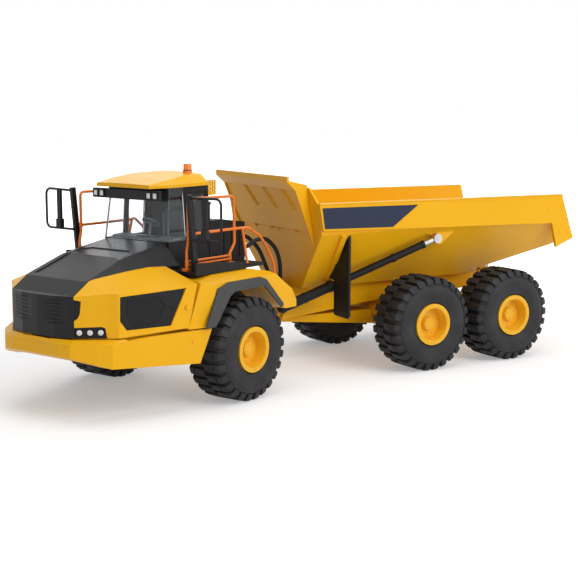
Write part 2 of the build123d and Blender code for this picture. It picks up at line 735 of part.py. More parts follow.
def hood_pieces():
    shell = hood_shell()
    plan = [(290, nose_corner[1]), nose_corner, (cheek_end[0], 47.4), (205, 56), (176, 61), (120, 68)]
    core = prism_z(both_plan(plan), 80, 200)
    inside = shell & core
    front_slab = prism_y([(262, 80), (290, 80), (290, grille_top_z - 0.2), (262, grille_top_z - 0.2)], -60, 60)
    recess, slats = grille_slats()
    grille = (inside & front_slab) - recess + slats
    top = inside - front_slab
    panel_plan = both_plan([(249, 40), (182, 38), (173, 29)])
    panel_cut = prism_z(panel_plan, 100, 200) & prism_y(
        [(256, 146.4), (197, 166.6), (140, 175.3), (140, 200), (256, 200)], -50, 50
    )
    top = top - panel_cut
    for sign in (1, -1):
        near, far = (sign * 18.3, sign * 21.7)
        web = box((hood_pin_x, hood_pin_x + 3.5), sorted((near, far)), (hood_pin_z - 0.4, hood_pin_z + 4))
        knuckle = bar((hood_pin_x, near, hood_pin_z), (hood_pin_x, far, hood_pin_z), hood_ear_radius)
        bore_ends = [(hood_pin_x, y, hood_pin_z) for y in (near - sign, far + sign)]
        bore = bar(*bore_ends, hood_pin_radius + 0.06)
        grille = grille + (web + knuckle - bore)
    notch = cheek_prism(notch_outline, 2, 5) & box((240, 300), (nose_corner[1] - 1, 90), (100, 140))
    pocket = cheek_prism([(-6, 130.6), (6.3, 128.6), (4.9, 117), (2.6, 112.6), (-6, 109)], 1, 1.2)
    side = (shell - core) & box((100, 300), (0, 130), (80, 200))
    notch_piece = (side & notch) - pocket
    grille = grille + notch_piece + mirrored(notch_piece)
    side = side - notch - cheek_prism(lamp_outline, 3, 8)
    side = side - prism_y([(152, 160), (167.2, 90), (100, 90), (100, 160)], -130, 130)
    side = side - prism_y(vent_outline, 60, 130)
    boss_x, boss_z = (168.0, 116.7)
    boss_y = side_y(boss_x)
    side = side + bar((boss_x, boss_y - 2, boss_z), (boss_x, boss_y + 1.7, boss_z), 3.2)
    return top, grille, side


vent_outline = [(242.6, 134.0), (168.5, 137.2), (186.4, 98.5), (236.0, 98.5), (243.2, 108.9)]
mesh_outline = [(233.2, 131.0), (199.1, 133.2), (189.6, 120.7), (201.5, 100.3), (225.5, 100.3), (235.0, 114.7)]


def shrunk(points, share):
    """An outline drawn in towards its middle."""
    middle_x = sum(p[0] for p in points) / len(points)
    middle_z = sum(p[1] for p in points) / len(points)
    return [(middle_x + (x - middle_x) * share, middle_z + (z - middle_z) * share) for x, z in points]


def side_layer(outline, shallow, deep):
    """An outline of (x, z) points as a plate between two depths behind the side panel's face."""
    ends = (250, 160)
    plan = [(x, side_y(x) - shallow) for x in ends] + [(x, side_y(x) - deep) for x in reversed(ends)]
    return prism_z(plan, 90, 145) & prism_y(outline, 60, 130)


def side_vent():
    frame = side_layer(shrunk(vent_outline, 0.992), 1.3, 2.9)
    ridge = side_layer(mesh_outline, 0.6, 1.4) - side_layer(shrunk(mesh_outline, 0.9), 0.3, 1.6)
    blade = side_layer([(199.1, 133.2), (189.6, 120.7), (179.5, 113), (171.5, 130)], 0.6, 1.4)
    return frame + ridge + (blade & side_layer(shrunk(vent_outline, 0.96), 0.5, 1.5))


def lamp_cluster():
    outline = shrunk(lamp_outline, 0.985)
    housing = cheek_prism(outline, -0.6, 4.0)
    for along in lamp_places:
        hole = bar(cheek_point(along, lamp_z, 1), cheek_point(along, lamp_z, -2.2), 4.2)
        lens = bar(cheek_point(along, lamp_z, -3), cheek_point(along, lamp_z, -1.0), 3.2)
        housing = housing - hole + lens
    return housing & box((230, 300), (nose_corner[1] + seat_gap, 100), (80, 120))


def fender():
    outer = fender_outer_y
    inner = fender_inner_y
    plan = [(166.5, side_y(166.5)), (140, 118), (136, outer), (-8, outer), (-8, inner), (166.5, inner)]
    profile = [
        (166.9, 92), (151.5, 142), (118, 146), (59, 146), (35, 141.5), (0, 117.5), (-8, 104), (-8, 96),
        (12, 96), (21, 101), (53, 127.5), (104, 127.5), (112, 123.5), (137, 92),
    ]
    section = [(inner, 150), (100, 146), (120, 138.5), (120, 80), (inner, 80)]
    return prism_z(plan, 85, 150) & prism_y(profile, 70, 125) & prism_x(section, -20, 170)


def flare():
    profile = [
        (152, 92), (132, 133), (115, 138.2), (61, 138.2), (50, 134.5), (18, 102),
        (22, 99), (53, 127), (104, 127), (112, 123), (137, 92),
    ]
    inner = fender_outer_y + 0.2
    return prism_y(profile, inner, inner + flare_thickness)


def side_deck():
    inner = cab_half_low + 0.4
    plan = [(133.3, inner), (146, 62), (146, deck_edge_y), (26, deck_edge_y), (26, inner)]
    plate = prism_z(plan, deck_z - deck_thickness, deck_z)
    kick = [(146, deck_z - deck_thickness), (146, 160.5), (62, 154), (62, deck_z - deck_thickness)]
    return plate + prism_y(kick, deck_edge_y, deck_edge_y + kick_thickness)


def rear_box():
    profile = [
        (cab_rear_x - seat_gap, pin_top_z + seat_gap), (cab_rear_x - seat_gap, 197), (40, 197), (-1, 191),
        (-1, pin_top_z + seat_gap),
    ]
    body = prism_y(profile, -47.5, 47.5)
    for x in (8, 22, 36):
        body = body - box((x, x + 2.2), (46.5, 50), (150, 186))
    return body


def cowl():
    return box((cab_rear_x, cab_front_x - 0.2), (-cowl_half_width, cowl_half_width),
               (front_rail_top_z + 0.2, cab_floor_z - 0.2))


def cab_side(z):
    """Half width of the cab at a height."""
    share = (z - cab_floor_z) / (cab_top_z - cab_floor_z)
    return cab_half_low + (cab_half_high - cab_half_low) * share


def cab_section(inset, low=cab_floor_z, high=cab_top_z):
    """The cab's cross section over a range of heights, drawn in by an inset."""
    return both_section([(cab_side(low) - inset, low), (cab_side(high) - inset, high)])


def cab_layer(outline, shallow, deep, low=cab_floor_z - 1, high=cab_top_z + 1):
    """An outline of (x, z) points as a plate in the left side of the cab, between two depths."""
    band = [(cab_side(low) - shallow, low), (cab_side(high) - shallow, high),
            (cab_side(high) - deep, high), (cab_side(low) - deep, low)]
    return prism_x(band, 50, 150) & prism_y(outline, 20, 70)


def pane(x_range, z_range, gap):
    """A rectangle of (x, z) points, drawn in by a gap."""
    left, right = (x_range[0] + gap, x_range[1] - gap)
    low, high = (z_range[0] + gap, z_range[1] - gap)
    return [(left, low), (right, low), (right, high), (left, high)]


def cab_shell():
    sill = cab_sill_z
    lean = (cab_front_x - windscreen_top_x) / (cab_top_z - sill)
    profile = [
        (cab_rear_x, cab_floor_z), (cab_front_x, cab_floor_z), (cab_front_x, sill), (pillar_x[1], sill),
        (pillar_x[1], cab_top_z), (cab_rear_x, cab_top_z),
    ]
    outer = prism_y(profile, -60, 60) & prism_x(cab_section(0), 50, 150)
    wall = cab_wall
    room = box((cab_rear_x + wall, cab_front_x - wall), (-60, 60), (cab_floor_z + wall, cab_top_z + 5))
    inner = room & prism_x(cab_section(wall, cab_floor_z + wall, cab_top_z + 5), 50, 150)
    cab = outer - inner
    hole_x = (door_edge[0] - door_hinge_gap, door_edge[1] + door_swing_gap)
    hole_z = (door_z[0] - door_gap, door_z[1] + door_gap)
    cab = cab - cab_layer(pane(hole_x, hole_z, 0), -2, wall + 2)
    cab = cab - mirrored(cab_layer(pane(window_edge, (sill, door_z[1]), 0), -2, wall + 2))
    return cab


def cab_door():
    window = pane(window_edge, door_window_z, 0)
    door = cab_layer(pane(door_edge, door_z, 0), 0, cab_wall) - cab_layer(window, -2, cab_wall + 2)
    for low in (166.0, 210.0):
        high = low + hinge_length
        arm = box((hinge_x - 1, hinge_x + 1), (cab_side(high) - 0.6, hinge_y), (low, high))
        door = door + arm + bar((hinge_x, hinge_y, low), (hinge_x, hinge_y, high), hinge_radius)
    handle = cab_layer(pane((90, 98), (168, 170.5), 0), -1.6, 0.5)
    return door + handle


def cab_glass():
    sill = cab_sill_z + door_gap
    rear = pillar_x[1] + door_gap
    top = cab_top_z - 0.2

    def clear(inset):
        front = [
            (rear - inset, sill - inset), (cab_front_x - inset, sill - inset),
            (windscreen_top_x - inset, top + inset), (rear - inset, top + inset),
        ]
        return prism_y(front, -60, 60) & prism_x(cab_section(inset, cab_floor_z, cab_top_z + 5), 50, 150)

    moulding = clear(0) - clear(glass_wall)
    right = pane(window_edge, (cab_sill_z, door_z[1]), glass_gap)
    return Compound([moulding, mirrored(cab_layer(right, glass_depth, glass_depth + glass_wall))])


def door_glass():
    return cab_layer(pane(window_edge, door_window_z, glass_gap), glass_depth, glass_depth + glass_wall)


def roof():
    low = roof_bottom_z
    # x, then (y, z) of eave, shoulder and crown
    sections = (
        (153.0, (41.0, low + 3.4), (39.0, low + 4.0), (15.0, low + 4.6)),
        (128.0, (50.0, low + 3.4), (42.5, low + 8.0), (18.0, low + 9.5)),
        (96.0, (50.0, low + 3.4), (40.0, low + 12.0), (20.0, low + 13.8)),
        (66.0, (50.0, low + 3.4), (38.0, low + 12.5), (22.0, low + 14.2)),
    )
    faces = []
    for x, eave, shoulder, crown in sections:
        half = [(eave[0], low), eave, shoulder, crown]
        faces.append(make_face(Polyline(*[(x, y, z) for y, z in both_section(half)], close=True)))
    return loft(faces, ruled=True)


def light_bar():
    bar_z = (225.0, 235.5)
    body = box((144, 149), (-51, 51), bar_z)
    bracket = box((136, 144.5), (-30, 30), (bar_z[1] - 4, roof_bottom_z - seat_gap))
    for y in (-46.0, -36.5, 36.5, 46.0):
        body = body + box((148, 150.5), (y - 4, y + 4), (bar_z[0] + 1, bar_z[1] - 1))
        body = body - box((149.6, 152), (y - 3, y + 3), (bar_z[0] + 2, bar_z[1] - 2))
    return body + bracket


def beacon():
    x, y = beacon_place
    base_z = roof_bottom_z + 15.8
    foot = bar((x, y, base_z - 5), (x, y, base_z), 5.2)
    foot = foot - Pos(0, 0, seat_gap) * roof()
    return foot + bar((x, y, base_z), (x, y, base_z + 8), 4.6)


def roof_guard():
    plate = box((48.5, cab_rear_x - seat_gap), (44.5, 46.0), (226, 243))
    for row in range(4):
        for column in range(3):
            x = 51.2 + column * 4.0
            z = 229.0 + row * 4.0 + (2.0 if column == 1 else 0.0)
            if z < 242:
                plate = plate - bar((x, 43, z), (x, 48, z), 1.2)
    return plate + box((cab_rear_x - 3, cab_rear_x - seat_gap), (30, 46), (226, 232))


def air_cleaner():
    foot_z = 197 + seat_gap
    body = bar((52, 30, foot_z), (52, 30, 214), 7.5)
    return body + bar((52, 30, 214), (52, 30, 217), 8.6) + bar((52, 30, 217), (52, 30, 222), 5.0)


def seat():
    cushion = prism_y([(66, 153.3), (92, 153.3), (94, 168), (90, 171), (66, 168)], -16, 16)
    back = prism_y([(65.4, 168), (71, 168), (69.5, 208), (65.4, 208)], -15, 15)
    rest = box((65.4, 69), (-8, 8), (210, 221))
    stalks = box((66.2, 68), (-5, 5), (207, 211))
    return cushion + back + stalks + rest


def dashboard():
    profile = [(129.4, 160), (129.4, 176), (124, 180.5), (108, 181.5), (104, 178), (104, 170), (112, 160)]
    desk = prism_y(profile, -45, 45)
    column = bar((113, 0, 176), (107.5, 0, 196), 1.8)
    wheel_plane = Plane(origin=(107.5, 0, 196), z_dir=(-0.5, 0, 0.86))
    wheel = wheel_plane * Torus(10.0, 1.1)
    spoke = wheel_plane * Box(2.0, 19.5, 1.2)
    return desk + column + wheel + spoke


def handrail():
    y = rail_y
    foot_z = deck_z + seat_gap
    top_z = 228.3
    frame = tube([
        (141, y, foot_z), (141, y, 170), (138, y, 183), (138, y, top_z), (62, y, top_z - 1.3), (61, y, 174),
        (70, y, 162), (68.5, y, foot_z),
    ], rail_radius, 5.0)
    middle = tube([
        (138, y, 190), (58, y + 1, 190), (44, y + 6, 190.5), (27, y + 10, 179.5), (11, y + 10, 160),
        (2, y + 10, 144.5), (-0.7, y + 10, 126), (-5.6, y + 10, 112),
    ], rail_radius, 12.0)
    ladder = bar((51, y + 3.6, 190), (52.8, y + 12, foot_z + 0.4), rail_radius)
    pieces = [frame, middle, ladder]
    for z in (156.5, 160.5):
        pieces.append(bar((140.5, y, z), (69.5, y, z), 1.3))
    for x in (141, 68.5):
        pieces.append(box((x - 4.5, x + 4.5), (y - 3, y + 3), (foot_z, foot_z + 3)))
    return fused(pieces)


def mirror_arm():
    near, far = mirror_y
    low, high = mirror_z
    foot_z = deck_z + seat_gap
    profile = [(131.8, foot_z), (138.8, foot_z), (146.6, high + 1.5), (140.2, high + 1.5)]
    post = prism_y(profile, near - 2, near + 2)
    corners = ((near, high - 2), (far, high - 1), (far, low), (near, low))
    loop = tube([(mirror_x, y, z) for y, z in corners], 1.4, 7.0)
    middle = (near + far) / 2
    head = box((mirror_x - 1.5, mirror_x + 1.5), (middle - 3, middle + 3), (low + 3, high - 2.2))
    lump = box((mirror_x - 3, mirror_x + 3), (middle - 3.8, middle + 3.8), (low - 0.5, low + 11))
    return post + loop + head + lump


def hoses():
    outer = tube([
        (-1.3, 44, 160), (-9, 44, 160), (-19, 50, 168), (-32, 55, 169), (-49, 57, 155), (-57, 57, 136),
        (-58, 56, 116), (-66, 55, 108.5),
    ], hose_radius)
    inner = tube([
        (-1.3, 34, 172), (-20, 34, 172), (-41, 36, 155), (-53, 36, 135), (-62, 36, 118), (-68, 36, 107),
    ], hose_radius)
    return Compound([outer, inner])


hood_top, grille, hood_side = hood_pieces()
front_nodes["front_frame"] = front_frame()
front_nodes["articulation_pin"] = bar((0, 0, pin_bottom_z + 2), (0, 0, pin_top_z), pin_radius)
front_nodes["bumper"] = bumper()
front_nodes["engine_block"] = engine_block()
front_nodes["hood_top"] = hood_top
front_nodes["grille"] = grille
front_nodes["hood_sides"] = both(hood_side)
front_nodes["side_vents"] = both(side_vent())
front_nodes["lamp_clusters"] = both(lamp_cluster())
front_nodes["fenders"] = both(fender())
front_nodes["flares"] = both(flare())
front_nodes["side_decks"] = both(side_deck())
front_nodes["rear_box"] = rear_box()
front_nodes["cowl"] = cowl()
front_nodes["cab_shell"] = cab_shell()
front_nodes["cab_door"] = cab_door()
front_nodes["cab_glass"] = cab_glass()
front_nodes["door_glass"] = door_glass()
front_nodes["roof"] = roof()
front_nodes["light_bar"] = light_bar()
front_nodes["beacon"] = beacon()
front_nodes["roof_guard"] = roof_guard()
front_nodes["air_cleaner"] = air_cleaner()
front_nodes["seat"] = seat()
front_nodes["dashboard"] = dashboard()
front_nodes["handrails"] = both(handrail())
front_nodes["mirrors"] = both(mirror_arm())
front_nodes["hoses"] = hoses()

for name, solid in front_nodes.items():
    nodes[name] = Rot(0, 0, steer_rest) * solid

for name, solid in nodes.items():
    export_step(solid, f"parts/{name}.step")
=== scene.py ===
import bpy
import json
import math
from mathutils import Matrix, Vector


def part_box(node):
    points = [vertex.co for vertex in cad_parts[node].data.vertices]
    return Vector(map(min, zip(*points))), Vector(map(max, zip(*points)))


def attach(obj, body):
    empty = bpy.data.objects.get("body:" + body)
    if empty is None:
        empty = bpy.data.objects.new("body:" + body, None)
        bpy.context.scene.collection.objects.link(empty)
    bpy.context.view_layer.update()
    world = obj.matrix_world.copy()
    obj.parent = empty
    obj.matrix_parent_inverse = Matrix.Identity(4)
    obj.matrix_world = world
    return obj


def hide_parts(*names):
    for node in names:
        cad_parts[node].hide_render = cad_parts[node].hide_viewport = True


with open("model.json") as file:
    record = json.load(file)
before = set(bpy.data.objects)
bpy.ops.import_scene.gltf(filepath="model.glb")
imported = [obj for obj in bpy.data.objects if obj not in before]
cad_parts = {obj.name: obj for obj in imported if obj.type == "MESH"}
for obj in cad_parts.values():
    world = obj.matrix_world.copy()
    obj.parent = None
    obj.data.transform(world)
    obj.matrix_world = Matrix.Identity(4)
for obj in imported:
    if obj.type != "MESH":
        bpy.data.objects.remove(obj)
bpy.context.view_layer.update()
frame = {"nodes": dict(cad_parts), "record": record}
slotOf = {part["node"]: part["material_slot"] for part in frame["record"]["subparts"]}
print("frame loaded:", len(frame["nodes"]), "nodes")

# The front unit stands turned about the pin, and its pieces are drawn straight, in millimetres
mm = 0.001
steerRest = 20.1
frontTurn = Matrix.Rotation(math.radians(steerRest), 4, "Z") @ Matrix.Scale(mm, 4)
rearTurn = Matrix.Scale(mm, 4)


# Camera at the photograph's angle, worked out from the model's own points
cameraView = {
    "place": (0.74888, 1.36891, 0.34204),
    "tilt": 81.38,        # degrees, 90 looks level
    "heading": 147.987,
    "lens": 80.71,
    "sensor": 36.0,
}


def addCamera(view):
    lens = bpy.data.cameras.new("photoCamera")
    lens.lens = view["lens"]
    lens.sensor_width = view["sensor"]
    lens.clip_start = 0.02
    holder = bpy.data.objects.new("photoCamera", lens)
    holder.location = view["place"]
    holder.rotation_euler = (math.radians(view["tilt"]), 0.0, math.radians(view["heading"]))
    bpy.context.scene.collection.objects.link(holder)
    bpy.context.scene.camera = holder


addCamera(cameraView)


# Each value is a fixed setting of an input, or another node's output that is linked to it
def addNode(tree, kind, values=None, **settings):
    node = tree.nodes.new(kind)
    for key, value in settings.items():
        setattr(node, key, value)
    for key, value in (values or {}).items():
        if isinstance(value, bpy.types.NodeSocket):
            tree.links.new(value, node.inputs[key])
        else:
            node.inputs[key].default_value = value
    return node


def mathNode(tree, operation, first, second=0.0):
    return addNode(tree, "ShaderNodeMath", {0: first, 1: second}, operation=operation).outputs[0]


# A shader group with its inputs as (label, kind, value) and its outputs as (label, kind)
def newGroup(name, inputs, outputs):
    group = bpy.data.node_groups.new(name, "ShaderNodeTree")
    for label, kind, value in inputs:
        socket = group.interface.new_socket(name=label, in_out="INPUT", socket_type="NodeSocket" + kind)
        if value is not None:
            socket.default_value = value
    for label, kind in outputs:
        group.interface.new_socket(name=label, in_out="OUTPUT", socket_type="NodeSocket" + kind)
    enter = group.nodes.new("NodeGroupInput").outputs
    leave = group.nodes.new("NodeGroupOutput").inputs
    return group, enter, leave


def useGroup(tree, group, values):
    return addNode(tree, "ShaderNodeGroup", values, node_tree=group).outputs


# Studio: pale floor, white surround, soft boxes
studio = {
    "floorSize": 14.0,
    "floorColour": (0.86, 0.86, 0.87, 1.0),
    "floorGlow": 0.31,          # lifts the floor towards white for the camera and keeps the shadow
    "fadeStart": 0.50,          # metres from the origin, where the floor starts to turn plain white
    "fadeEnd": 1.15,
    "surround": (1.0, 1.0, 1.0, 1.0),
    "surroundLight": 0.36,
    "floorRough": 0.75,
    "floorShine": 0.1,
    "lampAim": (-0.1, 0.0, 0.1),
}

# name, place, size of the box, power in watts
softBoxes = (
    ("sideBox", (-0.7, 2.3, 1.5), 1.6, 33.0),
    ("topBox", (-0.1, 0.2, 2.2), 1.9, 17.0),
    ("frontBox", (2.3, 0.9, 1.0), 1.4, 2.0),
    ("backBox", (-1.2, -2.0, 1.6), 1.4, 8.0),
)


# One where the camera, a gloss ray or a glass ray looks, else zero
def seenByLens(tree):
    path = tree.nodes.new("ShaderNodeLightPath")
    direct = mathNode(tree, "MAXIMUM", path.outputs["Is Camera Ray"], path.outputs["Is Glossy Ray"])
    return mathNode(tree, "MAXIMUM", direct, path.outputs["Is Transmission Ray"])


def floorGlow(tree):
    place = tree.nodes.new("ShaderNodeTexCoord").outputs["Object"]
    away = addNode(tree, "ShaderNodeVectorMath", {0: place}, operation="LENGTH").outputs["Value"]
    fade = addNode(tree, "ShaderNodeMapRange", {
        "Value": away, "From Min": studio["fadeStart"], "From Max": studio["fadeEnd"],
        "To Min": studio["floorGlow"], "To Max": 1.0,
    }, interpolation_type="SMOOTHSTEP").outputs[0]
    return mathNode(tree, "MULTIPLY", fade, seenByLens(tree))


def buildStudio():
    world = bpy.data.worlds.new("studioWorld")
    world.use_nodes = True
    tree = world.node_tree
    tree.nodes.clear()
    seen = addNode(tree, "ShaderNodeBackground", {"Color": studio["surround"]})
    light = addNode(tree, "ShaderNodeBackground", {
        "Color": studio["surround"], "Strength": studio["surroundLight"],
    })
    mix = addNode(tree, "ShaderNodeMixShader", {
        "Fac": seenByLens(tree), 1: light.outputs[0], 2: seen.outputs[0],
    })
    addNode(tree, "ShaderNodeOutputWorld", {"Surface": mix.outputs[0]})
    bpy.context.scene.world = world

    half = studio["floorSize"] / 2
    mesh = bpy.data.meshes.new("studioFloor")
    corners = [(-half, -half, 0), (half, -half, 0), (half, half, 0), (-half, half, 0)]
    mesh.from_pydata(corners, [], [(0, 1, 2, 3)])
    floor = bpy.data.objects.new("studioFloor", mesh)
    bpy.context.scene.collection.objects.link(floor)
    paper = bpy.data.materials.new("floorPaper")
    paper.use_nodes = True
    tree = paper.node_tree
    body = tree.nodes["Principled BSDF"]
    body.inputs["Base Color"].default_value = studio["floorColour"]
    body.inputs["Roughness"].default_value = studio["floorRough"]
    body.inputs["Specular IOR Level"].default_value = studio["floorShine"]
    body.inputs["Emission Color"].default_value = studio["surround"]
    tree.links.new(floorGlow(tree), body.inputs["Emission Strength"])
    floor.data.materials.append(paper)

    for name, place, size, power in softBoxes:
        lamp = bpy.data.lights.new(name, "AREA")
        lamp.shape = "SQUARE"
        lamp.size = size
        lamp.energy = power
        holder = bpy.data.objects.new(name, lamp)
        holder.location = place
        aim = Vector(studio["lampAim"]) - Vector(place)
        holder.rotation_euler = aim.to_track_quat("-Z", "Y").to_euler()
        bpy.context.scene.collection.objects.link(holder)
    bpy.context.scene.view_settings.view_transform = "Standard"


buildStudio()
print("studio ready")


# Shared effects: rounded edges, where a normal's turn counts as an edge
edgeMask = {"samples": 6, "from": 0.01, "to": 0.25}


# Rounds hard edges in the shading, and gives a mask of them
def makeSoftEdges():
    group, enter, leave = newGroup("softEdges", [("Radius", "Float", 0.0005)],
                                   [("Normal", "Vector"), ("Edge", "Float")])
    bevel = addNode(group, "ShaderNodeBevel", {"Radius": enter["Radius"]}, samples=edgeMask["samples"])
    flat = group.nodes.new("ShaderNodeNewGeometry").outputs["Normal"]
    same = addNode(group, "ShaderNodeVectorMath", {0: bevel.outputs[0], 1: flat}, operation="DOT_PRODUCT")
    turned = mathNode(group, "SUBTRACT", 1.0, same.outputs["Value"])
    mask = addNode(group, "ShaderNodeMapRange", {
        "Value": turned, "From Min": edgeMask["from"], "From Max": edgeMask["to"],
    }).outputs[0]
    group.links.new(bevel.outputs[0], leave["Normal"])
    group.links.new(mask, leave["Edge"])
    return group


grainForm = {
    "detail": 3.0,
    "strength": 0.8,
    "waveScale": 26.0,
    "waveDetail": 1.0,
    "waveStrength": 0.6,
}


# Fine spark-eroded grain over the slow waves that a thin moulding has
def makeMouldedGrain():
    group, enter, leave = newGroup("mouldedGrain", [
        ("Normal", "Vector", None), ("Grain", "Float", 1200.0), ("Depth", "Float", 0.00003),
        ("Wave Depth", "Float", 0.0002),
    ], [("Normal", "Vector")])
    place = group.nodes.new("ShaderNodeTexCoord").outputs["Object"]
    fine = addNode(group, "ShaderNodeTexNoise", {
        "Vector": place, "Scale": enter["Grain"], "Detail": grainForm["detail"],
    })
    slow = addNode(group, "ShaderNodeTexNoise", {
        "Vector": place, "Scale": grainForm["waveScale"], "Detail": grainForm["waveDetail"],
    })
    waved = addNode(group, "ShaderNodeBump", {
        "Height": slow.outputs[0], "Distance": enter["Wave Depth"], "Normal": enter["Normal"],
        "Strength": grainForm["waveStrength"],
    })
    grained = addNode(group, "ShaderNodeBump", {
        "Height": fine.outputs[0], "Distance": enter["Depth"], "Normal": waved.outputs[0],
        "Strength": grainForm["strength"],
    })
    group.links.new(grained.outputs[0], leave["Normal"])
    return group


toneForm = {
    "cloudScale": 14.0,
    "cloudDetail": 5.0,
    "patchScale": 60.0,
    "patchDetail": 4.0,
    "patchFrom": 0.4,
    "patchTo": 0.65,
    # pale colour painted along the edges as a highlight
    "paintedEdgeHighlight": (0.9, 0.88, 0.84, 1.0),
}


# Cloudy flow marks in the colour, and a pale highlight painted along the edges in patches
def makeToneAndHighlight():
    group, enter, leave = newGroup("toneAndPaintedHighlight", [
        ("Colour", "Color", (0.5, 0.5, 0.5, 1.0)), ("Edge", "Float", 0.0), ("Clouds", "Float", 0.06),
        ("Painted Highlight", "Float", 0.1),
    ], [("Colour", "Color")])
    place = group.nodes.new("ShaderNodeTexCoord").outputs["Object"]
    cloud = addNode(group, "ShaderNodeTexNoise", {
        "Vector": place, "Scale": toneForm["cloudScale"], "Detail": toneForm["cloudDetail"],
    })
    centred = mathNode(group, "SUBTRACT", cloud.outputs[0], 0.5)
    swing = mathNode(group, "MULTIPLY", centred, enter["Clouds"])
    level = mathNode(group, "ADD", swing, 1.0)
    toned = addNode(group, "ShaderNodeVectorMath", {0: enter["Colour"], "Scale": level}, operation="SCALE")
    patch = addNode(group, "ShaderNodeTexNoise", {
        "Vector": place, "Scale": toneForm["patchScale"], "Detail": toneForm["patchDetail"],
    })
    patchy = addNode(group, "ShaderNodeMapRange", {
        "Value": patch.outputs[0], "From Min": toneForm["patchFrom"], "From Max": toneForm["patchTo"],
    }).outputs[0]
    # Painted highlight: the edge mask, in patches, pulls the colour towards the pale tone
    paintedEdgeHighlight = mathNode(group, "MULTIPLY", mathNode(group, "MULTIPLY", enter["Edge"], patchy), enter["Painted Highlight"])
    mix = addNode(group, "ShaderNodeMix", {
        0: paintedEdgeHighlight, 6: toned.outputs[0], 7: toneForm["paintedEdgeHighlight"],
    }, data_type="RGBA")
    group.links.new(mix.outputs[2], leave["Colour"])
    return group


glossForm = {
    "smearScale": 32.0,
    "smearDetail": 6.0,
    "hairScale": (90.0, 1400.0, 900.0),
    "hairFrom": 0.66,
    "hairTo": 0.74,
    "hairRise": 0.06,
    "edgeRise": -0.05,
}


# Handling marks: a little duller and shinier in patches, with fine hairline scratches
def makeGlossShift():
    group, enter, leave = newGroup("glossShift", [
        ("Roughness", "Float", 0.4), ("Swing", "Float", 0.1), ("Edge", "Float", 0.0),
    ], [("Roughness", "Float")])
    place = group.nodes.new("ShaderNodeTexCoord").outputs["Object"]
    smear = addNode(group, "ShaderNodeTexNoise", {
        "Vector": place, "Scale": glossForm["smearScale"], "Detail": glossForm["smearDetail"],
    })
    stretched = addNode(group, "ShaderNodeMapping", {"Vector": place, "Scale": glossForm["hairScale"]})
    hair = addNode(group, "ShaderNodeTexNoise", {"Vector": stretched.outputs[0], "Scale": 1.0, "Detail": 1.0})
    lines = addNode(group, "ShaderNodeMapRange", {
        "Value": hair.outputs[0], "From Min": glossForm["hairFrom"], "From Max": glossForm["hairTo"],
        "To Max": glossForm["hairRise"],
    }).outputs[0]
    swing = mathNode(group, "MULTIPLY", mathNode(group, "SUBTRACT", smear.outputs[0], 0.5), enter["Swing"])
    worn = mathNode(group, "MULTIPLY", enter["Edge"], glossForm["edgeRise"])
    smeared = mathNode(group, "ADD", enter["Roughness"], swing)
    total = mathNode(group, "ADD", smeared, mathNode(group, "ADD", lines, worn))
    group.links.new(total, leave["Roughness"])
    return group


effects = {
    "edges": makeSoftEdges(),
    "grain": makeMouldedGrain(),
    "tone": makeToneAndHighlight(),
    "gloss": makeGlossShift(),
}


# Finishes of the moulded parts: shine is the specular level, depth and edge are in metres, and a pale
# highlight is painted along the edges in the given share
coatRough = 0.18
mouldedLooks = {
    "yellow": {
        "colour": (0.92, 0.465, 0.005), "rough": 0.36, "grain": 1100,
        "depth": 0.00002, "coat": 0.0, "edge": 0.0006, "clouds": 0.05, "paintedHighlight": 0.10, "shine": 0.22,
    },
    "rim_yellow": {
        "colour": (0.90, 0.49, 0.018), "rough": 0.38, "grain": 1100,
        "depth": 0.00002, "coat": 0.05, "edge": 0.0004, "clouds": 0.05, "paintedHighlight": 0.08, "shine": 0.32,
    },
    "black": {
        "colour": (0.013, 0.013, 0.0145), "rough": 0.4, "grain": 1500,
        "depth": 0.00003, "coat": 0.0, "edge": 0.0005, "clouds": 0.2, "paintedHighlight": 0.03, "shine": 0.18,
    },
    # the hood top's black: a little darker than the other black as painted shade for the top surface, and
    # with its own gloss
    "hoodBlackPaintedShade": {
        "colour": (0.010, 0.0098, 0.011), "rough": 0.31, "grain": 1500,
        "depth": 0.000015, "coat": 0.0, "edge": 0.0006, "clouds": 0.15, "paintedHighlight": 0.03, "shine": 0.25,
    },
    "grey": {
        "colour": (0.066, 0.066, 0.066), "rough": 0.5, "grain": 1500,
        "depth": 0.00004, "coat": 0.0, "edge": 0.0005, "clouds": 0.15, "paintedHighlight": 0.04, "shine": 0.2,
    },
    "orange": {
        "colour": (0.84, 0.2, 0.018), "rough": 0.38, "grain": 1100,
        "depth": 0.00002, "coat": 0.05, "edge": 0.0004, "clouds": 0.06, "paintedHighlight": 0.08, "shine": 0.32,
    },
    "blue": {
        "colour": (0.016, 0.024, 0.052), "rough": 0.42, "grain": 700,
        "depth": 0.00001, "coat": 0.0, "edge": 0.0003, "clouds": 0.1, "paintedHighlight": 0.03, "shine": 0.25,
    },
    "seat_grey": {
        "colour": (0.082, 0.1, 0.104), "rough": 0.5, "grain": 1500,
        "depth": 0.00004, "coat": 0.0, "edge": 0.0006, "clouds": 0.12, "paintedHighlight": 0.04, "shine": 0.25,
    },
    "amber": {
        "colour": (0.95, 0.24, 0.004), "rough": 0.18, "grain": 900,
        "depth": 0.00001, "coat": 0.4, "edge": 0.0003, "clouds": 0.04, "paintedHighlight": 0.0, "shine": 0.5,
    },
    "lampSilver": {
        "colour": (0.72, 0.73, 0.75), "rough": 0.22, "grain": 900,
        "depth": 0.00002, "coat": 0.5, "edge": 0.0002, "clouds": 0.1, "paintedHighlight": 0.0, "shine": 0.5,
    },
}


def startMaterial(name):
    material = bpy.data.materials.new(name)
    material.use_nodes = True
    return material, material.node_tree, material.node_tree.nodes["Principled BSDF"]


